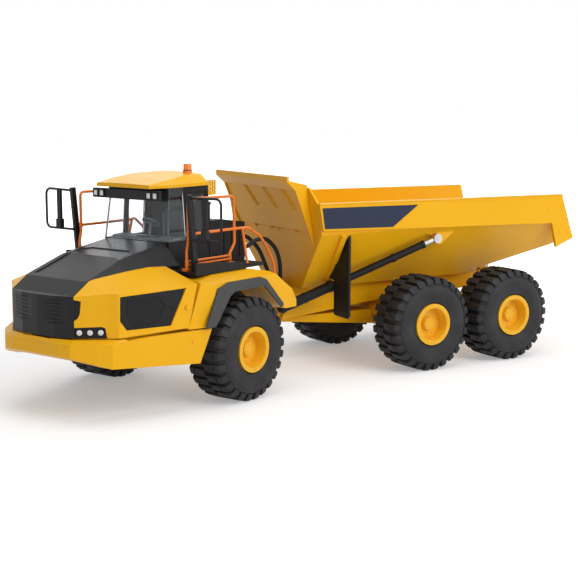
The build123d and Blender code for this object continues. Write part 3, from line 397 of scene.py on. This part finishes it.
def mouldedMaterial(name, look):
    material, tree, body = startMaterial(name)
    edges = useGroup(tree, effects["edges"], {"Radius": look["edge"]})
    tone = useGroup(tree, effects["tone"], {
        "Colour": look["colour"] + (1.0,), "Edge": edges["Edge"],
        "Clouds": look["clouds"], "Painted Highlight": look["paintedHighlight"],
    })
    gloss = useGroup(tree, effects["gloss"], {"Roughness": look["rough"], "Edge": edges["Edge"]})
    grain = useGroup(tree, effects["grain"], {
        "Normal": edges["Normal"], "Grain": look["grain"], "Depth": look["depth"],
    })
    tree.links.new(tone["Colour"], body.inputs["Base Color"])
    tree.links.new(gloss["Roughness"], body.inputs["Roughness"])
    tree.links.new(grain["Normal"], body.inputs["Normal"])
    body.inputs["Specular IOR Level"].default_value = look["shine"]
    body.inputs["Coat Weight"].default_value = look["coat"]
    body.inputs["Coat Roughness"].default_value = coatRough
    return material


rubberLook = {
    "colour": (0.020, 0.0195, 0.022),
    "dust": (0.050, 0.047, 0.051),
    "rough": 0.58,
    "shine": 0.25,
    "edge": 0.0004,
    "bloomScale": 45.0,
    "bloomDetail": 6.0,
    "bloomFrom": 0.35,
    "bloomTo": 0.75,
    "bloomShare": 0.6,
    # share of pale highlight painted along the edges
    "paintedHighlight": 0.05,
    "swing": 0.16,
    "grain": 2200.0,
    "depth": 0.00006,
}


# Dark rubber with a bloom on its side walls and a pebbled grain
def rubberMaterial(look):
    material, tree, body = startMaterial("tyreRubber")
    edges = useGroup(tree, effects["edges"], {"Radius": look["edge"]})
    place = tree.nodes.new("ShaderNodeTexCoord").outputs["Object"]
    bloom = addNode(tree, "ShaderNodeTexNoise", {
        "Vector": place, "Scale": look["bloomScale"], "Detail": look["bloomDetail"],
    })
    share = addNode(tree, "ShaderNodeMapRange", {
        "Value": bloom.outputs[0], "From Min": look["bloomFrom"], "From Max": look["bloomTo"],
        "To Max": look["bloomShare"],
    })
    mix = addNode(tree, "ShaderNodeMix", {
        0: share.outputs[0], 6: look["colour"] + (1.0,), 7: look["dust"] + (1.0,),
    }, data_type="RGBA")
    tone = useGroup(tree, effects["tone"], {
        "Colour": mix.outputs[2], "Edge": edges["Edge"], "Painted Highlight": look["paintedHighlight"],
    })
    gloss = useGroup(tree, effects["gloss"], {
        "Roughness": look["rough"], "Swing": look["swing"], "Edge": edges["Edge"],
    })
    grain = useGroup(tree, effects["grain"], {
        "Normal": edges["Normal"], "Grain": look["grain"], "Depth": look["depth"],
    })
    tree.links.new(tone["Colour"], body.inputs["Base Color"])
    tree.links.new(gloss["Roughness"], body.inputs["Roughness"])
    tree.links.new(grain["Normal"], body.inputs["Normal"])
    body.inputs["Specular IOR Level"].default_value = look["shine"]
    return material


platedLook = {
    "colour": (0.48, 0.47, 0.46),
    "rough": 0.34,
    "edge": 0.0003,
    "swing": 0.14,
    "grain": 2600.0,
    "depth": 0.00001,
}


# Plated metal with fine turning marks
def platedMaterial(name, look):
    material, tree, body = startMaterial(name)
    edges = useGroup(tree, effects["edges"], {"Radius": look["edge"]})
    gloss = useGroup(tree, effects["gloss"], {
        "Roughness": look["rough"], "Swing": look["swing"], "Edge": edges["Edge"],
    })
    grain = useGroup(tree, effects["grain"], {
        "Normal": edges["Normal"], "Grain": look["grain"], "Depth": look["depth"],
    })
    tone = useGroup(tree, effects["tone"], {
        "Colour": look["colour"] + (1.0,), "Edge": edges["Edge"], "Painted Highlight": 0.0,
    })
    tree.links.new(tone["Colour"], body.inputs["Base Color"])
    tree.links.new(gloss["Roughness"], body.inputs["Roughness"])
    tree.links.new(grain["Normal"], body.inputs["Normal"])
    body.inputs["Metallic"].default_value = 1.0
    return material


clearLooks = {
    "glass": {"colour": (0.86, 0.89, 0.92, 1.0), "rough": 0.03},
    "lens": {"colour": (0.97, 0.98, 1.0, 1.0), "rough": 0.02},
}
clearForm = {
    "ior": 1.32,
    "swing": 0.04,
    "edge": 0.0008,
    "edgeTint": (0.30, 0.34, 0.37, 1.0),
    "depth": 0.000002,
    "waveDepth": 0.0001,
    "shadowTint": (0.93, 0.94, 0.95, 1.0),
}


# Clear moulding, a little darker at its edges, that lets the lamps' light through to the cab
def clearMaterial(name, look):
    material, tree, body = startMaterial(name)
    body.inputs["Transmission Weight"].default_value = 1.0
    body.inputs["IOR"].default_value = clearForm["ior"]
    gloss = useGroup(tree, effects["gloss"], {"Roughness": look["rough"], "Swing": clearForm["swing"]})
    tree.links.new(gloss["Roughness"], body.inputs["Roughness"])
    edges = useGroup(tree, effects["edges"], {"Radius": clearForm["edge"]})
    tint = addNode(tree, "ShaderNodeMix", {
        0: edges["Edge"], 6: look["colour"], 7: clearForm["edgeTint"],
    }, data_type="RGBA")
    tree.links.new(tint.outputs[2], body.inputs["Base Color"])
    waves = useGroup(tree, effects["grain"], {
        "Normal": edges["Normal"], "Depth": clearForm["depth"], "Wave Depth": clearForm["waveDepth"],
    })
    tree.links.new(waves["Normal"], body.inputs["Normal"])
    passing = addNode(tree, "ShaderNodeBsdfTransparent", {"Color": clearForm["shadowTint"]})
    path = tree.nodes.new("ShaderNodeLightPath")
    mix = addNode(tree, "ShaderNodeMixShader", {
        0: path.outputs["Is Shadow Ray"], 1: body.outputs[0], 2: passing.outputs[0],
    })
    tree.links.new(mix.outputs[0], tree.nodes["Material Output"].inputs["Surface"])
    return material


treadForm = {
    "turn": 0.8,                # radians
    "scale": 260.0,
    "gap": 0.13,
    "gapSoft": 0.3,
    "length": 0.9,
    "width": 0.34,
    "height": 0.0003,
    "strength": 0.7,
}


# Black deck plate with raised slanting lozenges
def treadMaterial(look):
    material = mouldedMaterial("deckTread", look)
    tree = material.node_tree
    body = tree.nodes["Principled BSDF"]
    below = body.inputs["Normal"].links[0].from_socket
    place = tree.nodes.new("ShaderNodeTexCoord").outputs["Object"]
    tilted = addNode(tree, "ShaderNodeMapping", {
        "Vector": place, "Rotation": (0.0, 0.0, treadForm["turn"]), "Scale": (treadForm["scale"],) * 3,
    })
    lozenge = addNode(tree, "ShaderNodeTexBrick", {
        "Vector": tilted.outputs[0], "Scale": 1.0, "Mortar Size": treadForm["gap"],
        "Mortar Smooth": treadForm["gapSoft"], "Brick Width": treadForm["length"],
        "Row Height": treadForm["width"],
    })
    raised = addNode(tree, "ShaderNodeBump", {
        "Height": lozenge.outputs["Fac"], "Distance": treadForm["height"],
        "Strength": treadForm["strength"], "Normal": below,
    }, invert=True)
    tree.links.new(raised.outputs[0], body.inputs["Normal"])
    return material


made = {name: mouldedMaterial(name, look) for name, look in mouldedLooks.items()}
made["tyre"] = rubberMaterial(rubberLook)
made["steel"] = platedMaterial("platedSteel", platedLook)
made["glass"] = clearMaterial("clearCab", clearLooks["glass"])
made["lens"] = clearMaterial("lampLens", clearLooks["lens"])
made["tread"] = treadMaterial(mouldedLooks["black"])

# Nodes that differ from their slot's usual finish
specialFinish = {"hood_top": "hoodBlackPaintedShade", "side_decks": "tread", "beacon": "amber"}


def dressNodes():
    for name, node in frame["nodes"].items():
        node.data.materials.clear()
        node.data.materials.append(made[specialFinish.get(name, slotOf[name])])


dressNodes()
print("nodes dressed")


# Shapes are (points, faces) in millimetres
def joined(shapes):
    points, faces = [], []
    for somePoints, someFaces in shapes:
        start = len(points)
        points += somePoints
        faces += [tuple(i + start for i in face) for face in someFaces]
    return points, faces


def boxShape(low, high):
    (ax, ay, az), (bx, by, bz) = low, high
    points = [Vector((x, y, z)) for z in (az, bz) for x, y in ((ax, ay), (bx, ay), (bx, by), (ax, by))]
    return points, [(3, 2, 1, 0), (4, 5, 6, 7), (0, 1, 5, 4), (1, 2, 6, 5), (2, 3, 7, 6), (3, 0, 4, 7)]


# A profile of (radius, height) points turned about an axis, open at its ends unless they lie on it
def turnedShape(profile, steps, centre=(0, 0, 0), axis=(0, 1, 0), flute=None):
    turn = Vector(axis).normalized().to_track_quat("Z", "Y").to_matrix()
    points, faces = [], []
    for radius, height in profile:
        for step in range(steps):
            angle = 2 * math.pi * step / steps
            reach = radius * (1 + flute[1] * math.cos(flute[0] * angle)) if flute else radius
            spot = Vector((reach * math.cos(angle), reach * math.sin(angle), height))
            points.append(Vector(centre) + turn @ spot)
    for ring in range(len(profile) - 1):
        for step in range(steps):
            after = (step + 1) % steps
            low, high = ring * steps, (ring + 1) * steps
            faces.append((low + step, low + after, high + after, high + step))
    return points, faces


# Joins equal rings of points by quads, with caps unless the row of rings is closed
def stripShape(rings, closed=False):
    size = len(rings[0])
    points = [Vector(p) for ring in rings for p in ring]
    faces = []
    count = len(rings)
    for ring in range(count if closed else count - 1):
        for step in range(size):
            after = (step + 1) % size
            there = (ring + 1) % count
            low, high = ring * size, there * size
            faces.append((low + step, low + after, high + after, high + step))
    if not closed:
        faces.append(tuple(reversed(range(size))))
        faces.append(tuple(range((count - 1) * size, count * size)))
    return points, faces


# A round bar through points, mitred at its bends
def tubeShape(path, radius, sides=12):
    places = [Vector(p) for p in path]
    rings = []
    for index, here in enumerate(places):
        before = places[max(index - 1, 0)]
        after = places[min(index + 1, len(places) - 1)]
        along = (after - before).normalized()
        side = along.orthogonal().normalized()
        if rings:
            side = (lastSide - along * lastSide.dot(along)).normalized()
        up = along.cross(side)
        ring = [here + (side * math.cos(a) + up * math.sin(a)) * radius
                for a in (2 * math.pi * step / sides for step in range(sides))]
        rings.append(ring)
        lastSide = side
    return stripShape(rings)


def mirroredShape(shape):
    return [Vector((p[0], -p[1], p[2])) for p in shape[0]], [tuple(reversed(face)) for face in shape[1]]


def bothShapes(shapes):
    return shapes + [mirroredShape(shape) for shape in shapes]


# Makes an object of a shape, gives it its finish and lets it ride on its body
def addPiece(name, shape, body, finish, matrix=frontTurn, soften=0.0, smoothAngle=35):
    points, faces = shape
    mesh = bpy.data.meshes.new(name)
    mesh.from_pydata([tuple(matrix @ Vector(p)) for p in points], [], faces)
    mesh.validate()
    for polygon in mesh.polygons:
        polygon.use_smooth = True
    mesh.set_sharp_from_angle(angle=math.radians(smoothAngle))
    piece = bpy.data.objects.new(name, mesh)
    bpy.context.scene.collection.objects.link(piece)
    if soften:
        bevel = piece.modifiers.new("soften", "BEVEL")
        bevel.width = soften * mm
        bevel.segments = 2
        bevel.limit_method = "ANGLE"
    mesh.materials.append(made[finish])
    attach(piece, body)
    return piece


# Tyres: rounded side walls, and two staggered rows of lugs that run down over the shoulder
tyreForm = {
    "lugs": 26,
    "lugShare": 0.62,
    "ringSteps": 156,
    # radius, half width from the bead to the middle of the tread
    "carcass": (
        (23.3, 20.2), (25.4, 21.2), (26.4, 23.4), (27.6, 25.1), (28.8, 25.5), (29.6, 25.2), (31.5, 25.8),
        (34.5, 26.7), (38.0, 27.3), (42.0, 27.5), (45.0, 27.0), (47.0, 25.9), (47.8, 26.0), (48.8, 25.4),
        (50.2, 23.8), (51.6, 22.4), (53.8, 21.6), (55.2, 19.8), (55.5, 0.0),
    ),
    # radius, place across: one lug's outline, with the slit across its top
    "lug": (
        (53.5, 0.4), (58.2, 0.7), (58.7, 1.6), (58.7, 13.4), (57.3, 13.9), (57.3, 15.0), (58.7, 15.5),
        (58.7, 20.4), (57.7, 22.4), (53.6, 24.9), (50.4, 25.6), (49.6, 24.6), (50.6, 20.0),
    ),
    # share of half a lug, how far its outline is drawn in there
    "lugRings": ((-1.0, 0.9), (-0.86, 0.1), (-0.3, 0.0), (0.3, 0.0), (0.86, 0.1), (1.0, 0.9)),
    "crownFrom": 52.0,          # radius past which a lug is drawn in fully
    "shoulderFrom": 20.0,       # place across past which it is drawn in sideways too
}


# One lug, drawn in a little at its two ends
def lugShape(form, middle, side):
    half = form["lugShare"] * math.pi / form["lugs"]
    rings = []
    for share, drop in form["lugRings"]:
        angle = middle + share * half
        ring = []
        for radius, across in form["lug"]:
            low = radius - drop * (1.0 if radius > form["crownFrom"] else 0.3)
            spot = across - drop * (0.5 if across > form["shoulderFrom"] else 0.0)
            ring.append((low * math.cos(angle), side * spot, low * math.sin(angle)))
        rings.append(ring if side > 0 else list(reversed(ring)))
    return stripShape(rings)


def tyreShape(form):
    half = list(form["carcass"])
    profile = half + [(radius, -across) for radius, across in reversed(half[:-1])]
    shapes = [turnedShape(profile, form["ringSteps"])]
    pitch = 2 * math.pi / form["lugs"]
    for number in range(form["lugs"]):
        shapes.append(lugShape(form, number * pitch, 1))
        shapes.append(lugShape(form, (number + 0.5) * pitch, -1))
    return joined(shapes)


# Bolts in the wheel: radius of their circle, how many, place across, size
wheelBolts = ((14.2, 10, 12.5, 1.1), (5.2, 6, 17.5, 0.8))


def boltShapes(rows):
    shapes = []
    for circle, count, across, size in rows:
        for number in range(count):
            angle = 2 * math.pi * (number + 0.5) / count
            spot = (circle * math.cos(angle), across, circle * math.sin(angle))
            head = ((size, -0.3), (size, 0.55), (size * 0.8, 0.8), (0.0, 0.85))
            shapes.append(turnedShape(head, 6, spot, (0, 1, 0)))
    return shapes


# Rings turned into the dish and the hub cap: radius, place across, thickness
wheelRings = ((17.2, 12.7, 0.35), (7.0, 17.6, 0.3), (22.6, 25.8, 0.3))


def ringShape(radius, across, thick):
    spots = [2 * math.pi * step / 8 for step in range(9)]
    profile = [(radius + thick * math.cos(a), across + thick * math.sin(a)) for a in spots]
    return turnedShape(profile, 72)


def addWheels():
    tyre = tyreShape(tyreForm)
    fittings = joined(boltShapes(wheelBolts) + [ringShape(*ring) for ring in wheelRings])
    for which in ("front", "mid", "rear"):
        for side in ("left", "right"):
            low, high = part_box(f"tyre_{which}_{side}")
            centre = (Vector(low) + Vector(high)) / 2
            turn = (steerRest if which == "front" else 0.0) + (180.0 if side == "right" else 0.0)
            spin = Matrix.Rotation(math.radians(turn), 4, "Z")
            matrix = Matrix.Translation(centre) @ spin @ Matrix.Scale(mm, 4)
            body = f"wheel_{which}_{side}"
            piece = addPiece(f"tyreTread_{which}_{side}", tyre, body, "tyre", matrix, smoothAngle=30)
            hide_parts(f"tyre_{which}_{side}")
            addPiece(f"wheelFittings_{which}_{side}", fittings, body, "rim_yellow", matrix)


addWheels()
print("wheels made")


# Hood: lamps on its cheeks, screens in its side vents
cheek = {
    "corner": Vector((273.5, 47.5, 0.0)),
    "end": Vector((251.0, 73.6, 0.0)),
    "lampAlong": (5.0, 16.0, 27.0),
    "lampHeight": 97.0,
}
lampDome = ((3.05, -1.0), (3.0, -0.6), (2.5, -0.25), (1.6, 0.0), (0.7, 0.12), (0.0, 0.15))
lampBezel = ((3.1, -1.4), (3.1, -0.5), (3.35, -0.25), (3.7, -0.3), (3.95, -0.7), (4.1, -1.5))


def addLamps():
    along = (cheek["end"] - cheek["corner"]).normalized()
    out = Vector((along.y, -along.x, 0.0))
    domes, bezels = [], []
    for place in cheek["lampAlong"]:
        spot = cheek["corner"] + along * place + Vector((0, 0, cheek["lampHeight"]))
        domes.append(turnedShape(lampDome, 32, spot, out))
        bezels.append(turnedShape(lampBezel, 32, spot, out))
    addPiece("lampDomes", joined(bothShapes(domes)), "hood", "lampSilver")
    addPiece("lampBezels", joined(bothShapes(bezels)), "hood", "black")


sidePanel = {"x": 244.5, "y": 83.2, "spread": 0.3333}
ventScreen = {
    "outline": (
        (232.4, 130.2), (199.6, 132.2), (190.6, 120.5), (202.0, 101.2), (225.0, 101.2), (234.0, 114.8),
    ),
    "pitch": 3.2,
    "slant": 0.6,
    "rows": (-60, 160),
    "shortest": 1.0,
    "wire": 0.32,
    "depth": 1.35,
}


def sideY(x):
    return sidePanel["y"] + sidePanel["spread"] * (sidePanel["x"] - x)


# Where a slanting line x = slope * z + offset crosses an outline, as two heights
def insideSpan(outline, slope, offset):
    heights = []
    for (ax, az), (bx, bz) in zip(outline, outline[1:] + outline[:1]):
        first = ax - slope * az - offset
        second = bx - slope * bz - offset
        if (first > 0) != (second > 0):
            heights.append(az + (bz - az) * first / (first - second))
    return sorted(heights) if len(heights) == 2 else None


def addVentScreens():
    bars = []
    outline = list(ventScreen["outline"])
    for slope in (ventScreen["slant"], -ventScreen["slant"]):
        for number in range(*ventScreen["rows"]):
            offset = number * ventScreen["pitch"]
            span = insideSpan(outline, slope, offset)
            if span is None or span[1] - span[0] < ventScreen["shortest"]:
                continue
            ends = []
            for z in span:
                x = slope * z + offset
                ends.append((x, sideY(x) - ventScreen["depth"], z))
            bars.append(tubeShape(ends, ventScreen["wire"], 6))
    addPiece("ventScreens", joined(bothShapes(bars)), "hood", "black")


addLamps()
addVentScreens()
print("hood fitted")


# Cab: window seals, corner beads of the clear moulding, lamps of the light bar, beacon's fluted lens
# Height and place across of the leaning side, windows as ranges of place along and height
cab = {
    "low": (150.0, 52.1),
    "high": (237.7, 45.4),
    "doorWindow": ((71.0, 98.0), (180.0, 227.5)),
    "farWindow": ((71.0, 98.0), (178.0, 231.0)),
    # place along and height of each end of the screen's corner bead
    "bead": ((132.8, 178.4), (126.2, 237.3)),
    "beadInset": 0.3,
    "beadRadius": 0.55,
}


def cabY(z):
    (lowZ, lowY), (highZ, highY) = cab["low"], cab["high"]
    return lowY + (highY - lowY) * (z - lowZ) / (highZ - lowZ)


# A rubber frame round a window in the leaning side
def windowSeal(xRange, zRange, width=1.1, proud=0.35, inner=-0.35, foot=-0.4):
    corners = [(xRange[0], zRange[0]), (xRange[1], zRange[0]), (xRange[1], zRange[1]), (xRange[0], zRange[1])]
    grow = [(-1, -1), (1, -1), (1, 1), (-1, 1)]
    rings = []
    for (x, z), (gx, gz) in zip(corners, grow):
        ring = []
        for step, height in (
            (inner, foot), (inner, proud), (0.15, proud + 0.15), (width, proud), (width, foot),
        ):
            spotZ = z + gz * step
            ring.append((x + gx * step, cabY(spotZ) + height, spotZ))
        rings.append(ring)
    return stripShape(rings, closed=True)


def addCabTrim():
    farSeal = mirroredShape(windowSeal(*cab["farWindow"]))
    addPiece("doorSeal", windowSeal(*cab["doorWindow"]), "cab_door", "black")
    addPiece("windowSeal", farSeal, "front_frame", "black")
    ends = [(x, cabY(z) - cab["beadInset"], z) for x, z in cab["bead"]]
    bead = tubeShape(ends, cab["beadRadius"], 10)
    addPiece("screenBeads", joined(bothShapes([bead])), "front_frame", "lens")


barLamps = {
    "across": (-46.0, -36.5, 36.5, 46.0),
    "z": (227.3, 233.2),
    "x": 149.7,
    "halfWidth": 2.8,
    "back": 0.4,
    "front": 0.35,
    "dome": ((2.1, 0.0), (2.1, 0.25), (1.8, 0.45), (1.6, 0.25), (1.0, 0.3), (0.0, 0.5)),
    "domeSink": 0.05,
    "soften": 0.2,
}


def addLightBarLamps():
    plates, domes = [], []
    for y in barLamps["across"]:
        low, high = barLamps["z"]
        back = barLamps["x"] - barLamps["back"]
        front = barLamps["x"] + barLamps["front"]
        right, left = y - barLamps["halfWidth"], y + barLamps["halfWidth"]
        plates.append(boxShape((back, right, low), (front, left, high)))
        centre = (front - barLamps["domeSink"], y, (low + high) / 2)
        domes.append(turnedShape(barLamps["dome"], 24, centre, (1, 0, 0)))
    addPiece("barLampPlates", joined(plates), "front_frame", "lampSilver", soften=barLamps["soften"])
    addPiece("barLampDomes", joined(domes), "front_frame", "lens")


beaconLens = {
    "centre": (75.0, 26.5, 253.8),
    "profile": ((4.62, 0.0), (4.72, 0.2), (4.72, 7.0), (4.5, 7.7), (3.9, 8.15), (0.0, 8.3)),
    "collar": ((4.6, -0.3), (5.15, -0.2), (5.2, 0.5), (4.9, 0.8), (4.6, 0.8)),
    "flutes": (24, 0.012),      # how many, share of the radius
}


def addBeacon():
    centre, up = beaconLens["centre"], (0, 0, 1)
    lens = turnedShape(beaconLens["profile"], 96, centre, up, flute=beaconLens["flutes"])
    collar = turnedShape(beaconLens["collar"], 48, centre, up)
    addPiece("beaconLens", lens, "front_frame", "amber")
    addPiece("beaconCollar", collar, "front_frame", "black")


addCabTrim()
addLightBarLamps()
addBeacon()
print("cab fitted")


# Seat: a moulded bucket with side bolsters and rounded pads
seatPads = (
    # low corner, high corner, rounding
    ((67.0, -13.0, 167.0), (93.0, 13.0, 172.6), 2.2),
    ((70.0, -16.6, 166.0), (94.0, -12.2, 174.4), 1.8),
    ((70.0, 12.2, 166.0), (94.0, 16.6, 174.4), 1.8),
    ((66.0, -12.0, 172.0), (72.4, 12.0, 207.0), 2.2),
    ((66.2, -15.6, 172.0), (74.0, -11.4, 203.0), 1.8),
    ((66.2, 11.4, 172.0), (74.0, 15.6, 203.0), 1.8),
    ((65.8, -8.4, 209.6), (70.6, 8.4, 221.4), 2.0),
)


# A pillow-like box: a finely divided cube pulled in at its edges
def roundedBox(low, high, radius):
    steps = 8
    centre = (Vector(low) + Vector(high)) / 2
    half = (Vector(high) - Vector(low)) / 2
    core = Vector([max(h - radius, 0.01) for h in half])
    points, faces = [], []
    for axis in range(3):
        for sign in (-1, 1):
            start = len(points)
            for i in range(steps + 1):
                for j in range(steps + 1):
                    spot = Vector((0, 0, 0))
                    spot[axis] = sign * half[axis]
                    spot[(axis + 1) % 3] = half[(axis + 1) % 3] * (2 * i / steps - 1)
                    spot[(axis + 2) % 3] = half[(axis + 2) % 3] * (2 * j / steps - 1)
                    inner = Vector([max(-c, min(c, s)) for s, c in zip(spot, core)])
                    away = spot - inner
                    if away.length > 0:
                        spot = inner + away.normalized() * radius
                    points.append(centre + spot)
            for i in range(steps):
                for j in range(steps):
                    a = start + i * (steps + 1) + j
                    quad = (a, a + 1, a + steps + 2, a + steps + 1)
                    faces.append(quad if sign < 0 else tuple(reversed(quad)))
    return points, faces


def addSeatPads():
    pads = [roundedBox(low, high, rounding) for low, high, rounding in seatPads]
    addPiece("seatPads", joined(pads), "front_frame", "seat_grey", smoothAngle=60)


deskDials = {
    # place along, across, size
    "dials": ((121.0, -7.0, 2.4), (121.0, 0.0, 3.0), (121.0, 7.0, 2.4), (117.0, 18.0, 3.6)),
    "z": 181.0,
    "tilt": (0.1, 0, 1),
}


def addInstruments():
    dials = []
    for x, y, size in deskDials["dials"]:
        face = ((size, -0.6), (size, 0.4), (size * 0.86, 0.7), (size * 0.8, 0.3), (0.0, 0.3))
        dials.append(turnedShape(face, 28, (x, y, deskDials["z"]), deskDials["tilt"]))
    addPiece("deskDials", joined(dials), "front_frame", "black")


addSeatPads()
addInstruments()
print("cab inside fitted")


# Rails: collars where the bars meet, and rings on the hoists
railCollars = {
    "y": 84.0,
    "radius": 1.6,
    # place along, height, length
    "spots": ((138.0, 190.0, 5.0), (61.3, 190.0, 5.0), (69.3, 158.5, 6.6), (140.7, 158.5, 6.6)),
}


def collarShape(centre, axis, radius, length, proud=0.55, steps=28):
    half = length / 2
    profile = ((radius, -half), (radius + proud, -half + 0.3), (radius + proud, half - 0.3), (radius, half))
    return turnedShape(profile, steps, centre, axis)


def addCollars():
    shapes = [
        collarShape((x, railCollars["y"], z), (0, 0, 1), railCollars["radius"], length)
        for x, z, length in railCollars["spots"]
    ]
    addPiece("railCollars", joined(bothShapes(shapes)), "front_frame", "orange")


hoist = {
    "base": Vector((-72.0, 41.0, 82.0)),
    "eye": Vector((-259.0, 104.0, 162.4)),
    # distance from the base, inner radius, length
    "rings": ((68.0, 6.4, 3.0), (30.0, 6.4, 2.0), (194.0, 4.6, 3.4), (120.0, 4.55, 1.6)),
}


def addHoistRings():
    along = (hoist["eye"] - hoist["base"]).normalized()
    for side in ("left", "right"):
        shapes = [
            collarShape(hoist["base"] + along * far, along, radius, length)
            for far, radius, length in hoist["rings"]
        ]
        if side == "right":
            shapes = [mirroredShape(shape) for shape in shapes]
        addPiece(f"hoistRings_{side}", joined(shapes), f"hoist_barrel_{side}", "black", rearTurn)


addCollars()
addHoistRings()
print("rails and hoists fitted")


# Dump body: tabs at the headboard's foot, studs of the rails, border of the mud flaps
tubFront = {"top": (-82.0, 212.0), "bottom": (-98.5, 104.0)}       # place along, height
bodyTabs = {
    "across": (-46.0, -8.0, 8.0, 46.0),
    "z": 181.0,
    "drop": (6.5, 3.6),
    "out": (0.1, 2.7),
    "halfWidth": 2.2,
    "soften": 0.4,
}
railStuds = {
    # place along, height
    "spots": ((-440.0, 189.0), (-462.0, 158.0), (-478.0, 158.0)),
    "y": 108.0,
    "profile": ((1.7, -0.2), (1.7, 0.5), (1.2, 0.9), (0.0, 1.0)),
}
flapBorder = {
    # place across, height
    "outline": ((98.6, 78.5), (98.6, 168.0), (72.4, 137.0), (72.4, 78.5)),
    "faces": (-127.9, -131.1),
    "width": 1.1,
    "half": 0.35,
}


def tubFrontX(z):
    (topX, topZ), (lowX, lowZ) = tubFront["top"], tubFront["bottom"]
    return topX - (topX - lowX) * (topZ - z) / (topZ - lowZ)


def addBodyTabs():
    tabs = []
    low, high = (bodyTabs["z"] - drop for drop in bodyTabs["drop"])
    back, front = (tubFrontX(bodyTabs["z"]) + out for out in bodyTabs["out"])
    half = bodyTabs["halfWidth"]
    for y in bodyTabs["across"]:
        tabs.append(boxShape((back, y - half, low), (front, y + half, high)))
    addPiece("bodyTabs", joined(tabs), "dump_body", "yellow", rearTurn, soften=bodyTabs["soften"])


def addRailStuds():
    studs = [
        turnedShape(railStuds["profile"], 24, (x, railStuds["y"], z), (0, 1, 0))
        for x, z in railStuds["spots"]
    ]
    addPiece("railStuds", joined(bothShapes(studs)), "dump_body", "yellow", rearTurn)


# A low border round both faces of each mud flap
def addFlapBorders():
    outline, width, half = flapBorder["outline"], flapBorder["width"], flapBorder["half"]
    middleY = sum(y for y, z in outline) / len(outline)
    middleZ = sum(z for y, z in outline) / len(outline)
    borders = []
    for face in flapBorder["faces"]:
        rings = []
        for y, z in outline:
            innerY = y + math.copysign(width, middleY - y)
            innerZ = z + math.copysign(width, middleZ - z)
            rings.append([
                (face - half, y, z), (face + half, y, z),
                (face + half, innerY, innerZ), (face - half, innerY, innerZ),
            ])
        borders.append(stripShape(rings, closed=True))
    addPiece("flapBorders", joined(bothShapes(borders)), "dump_body", "black", rearTurn)


addBodyTabs()
addRailStuds()
addFlapBorders()
print("dump body fitted")
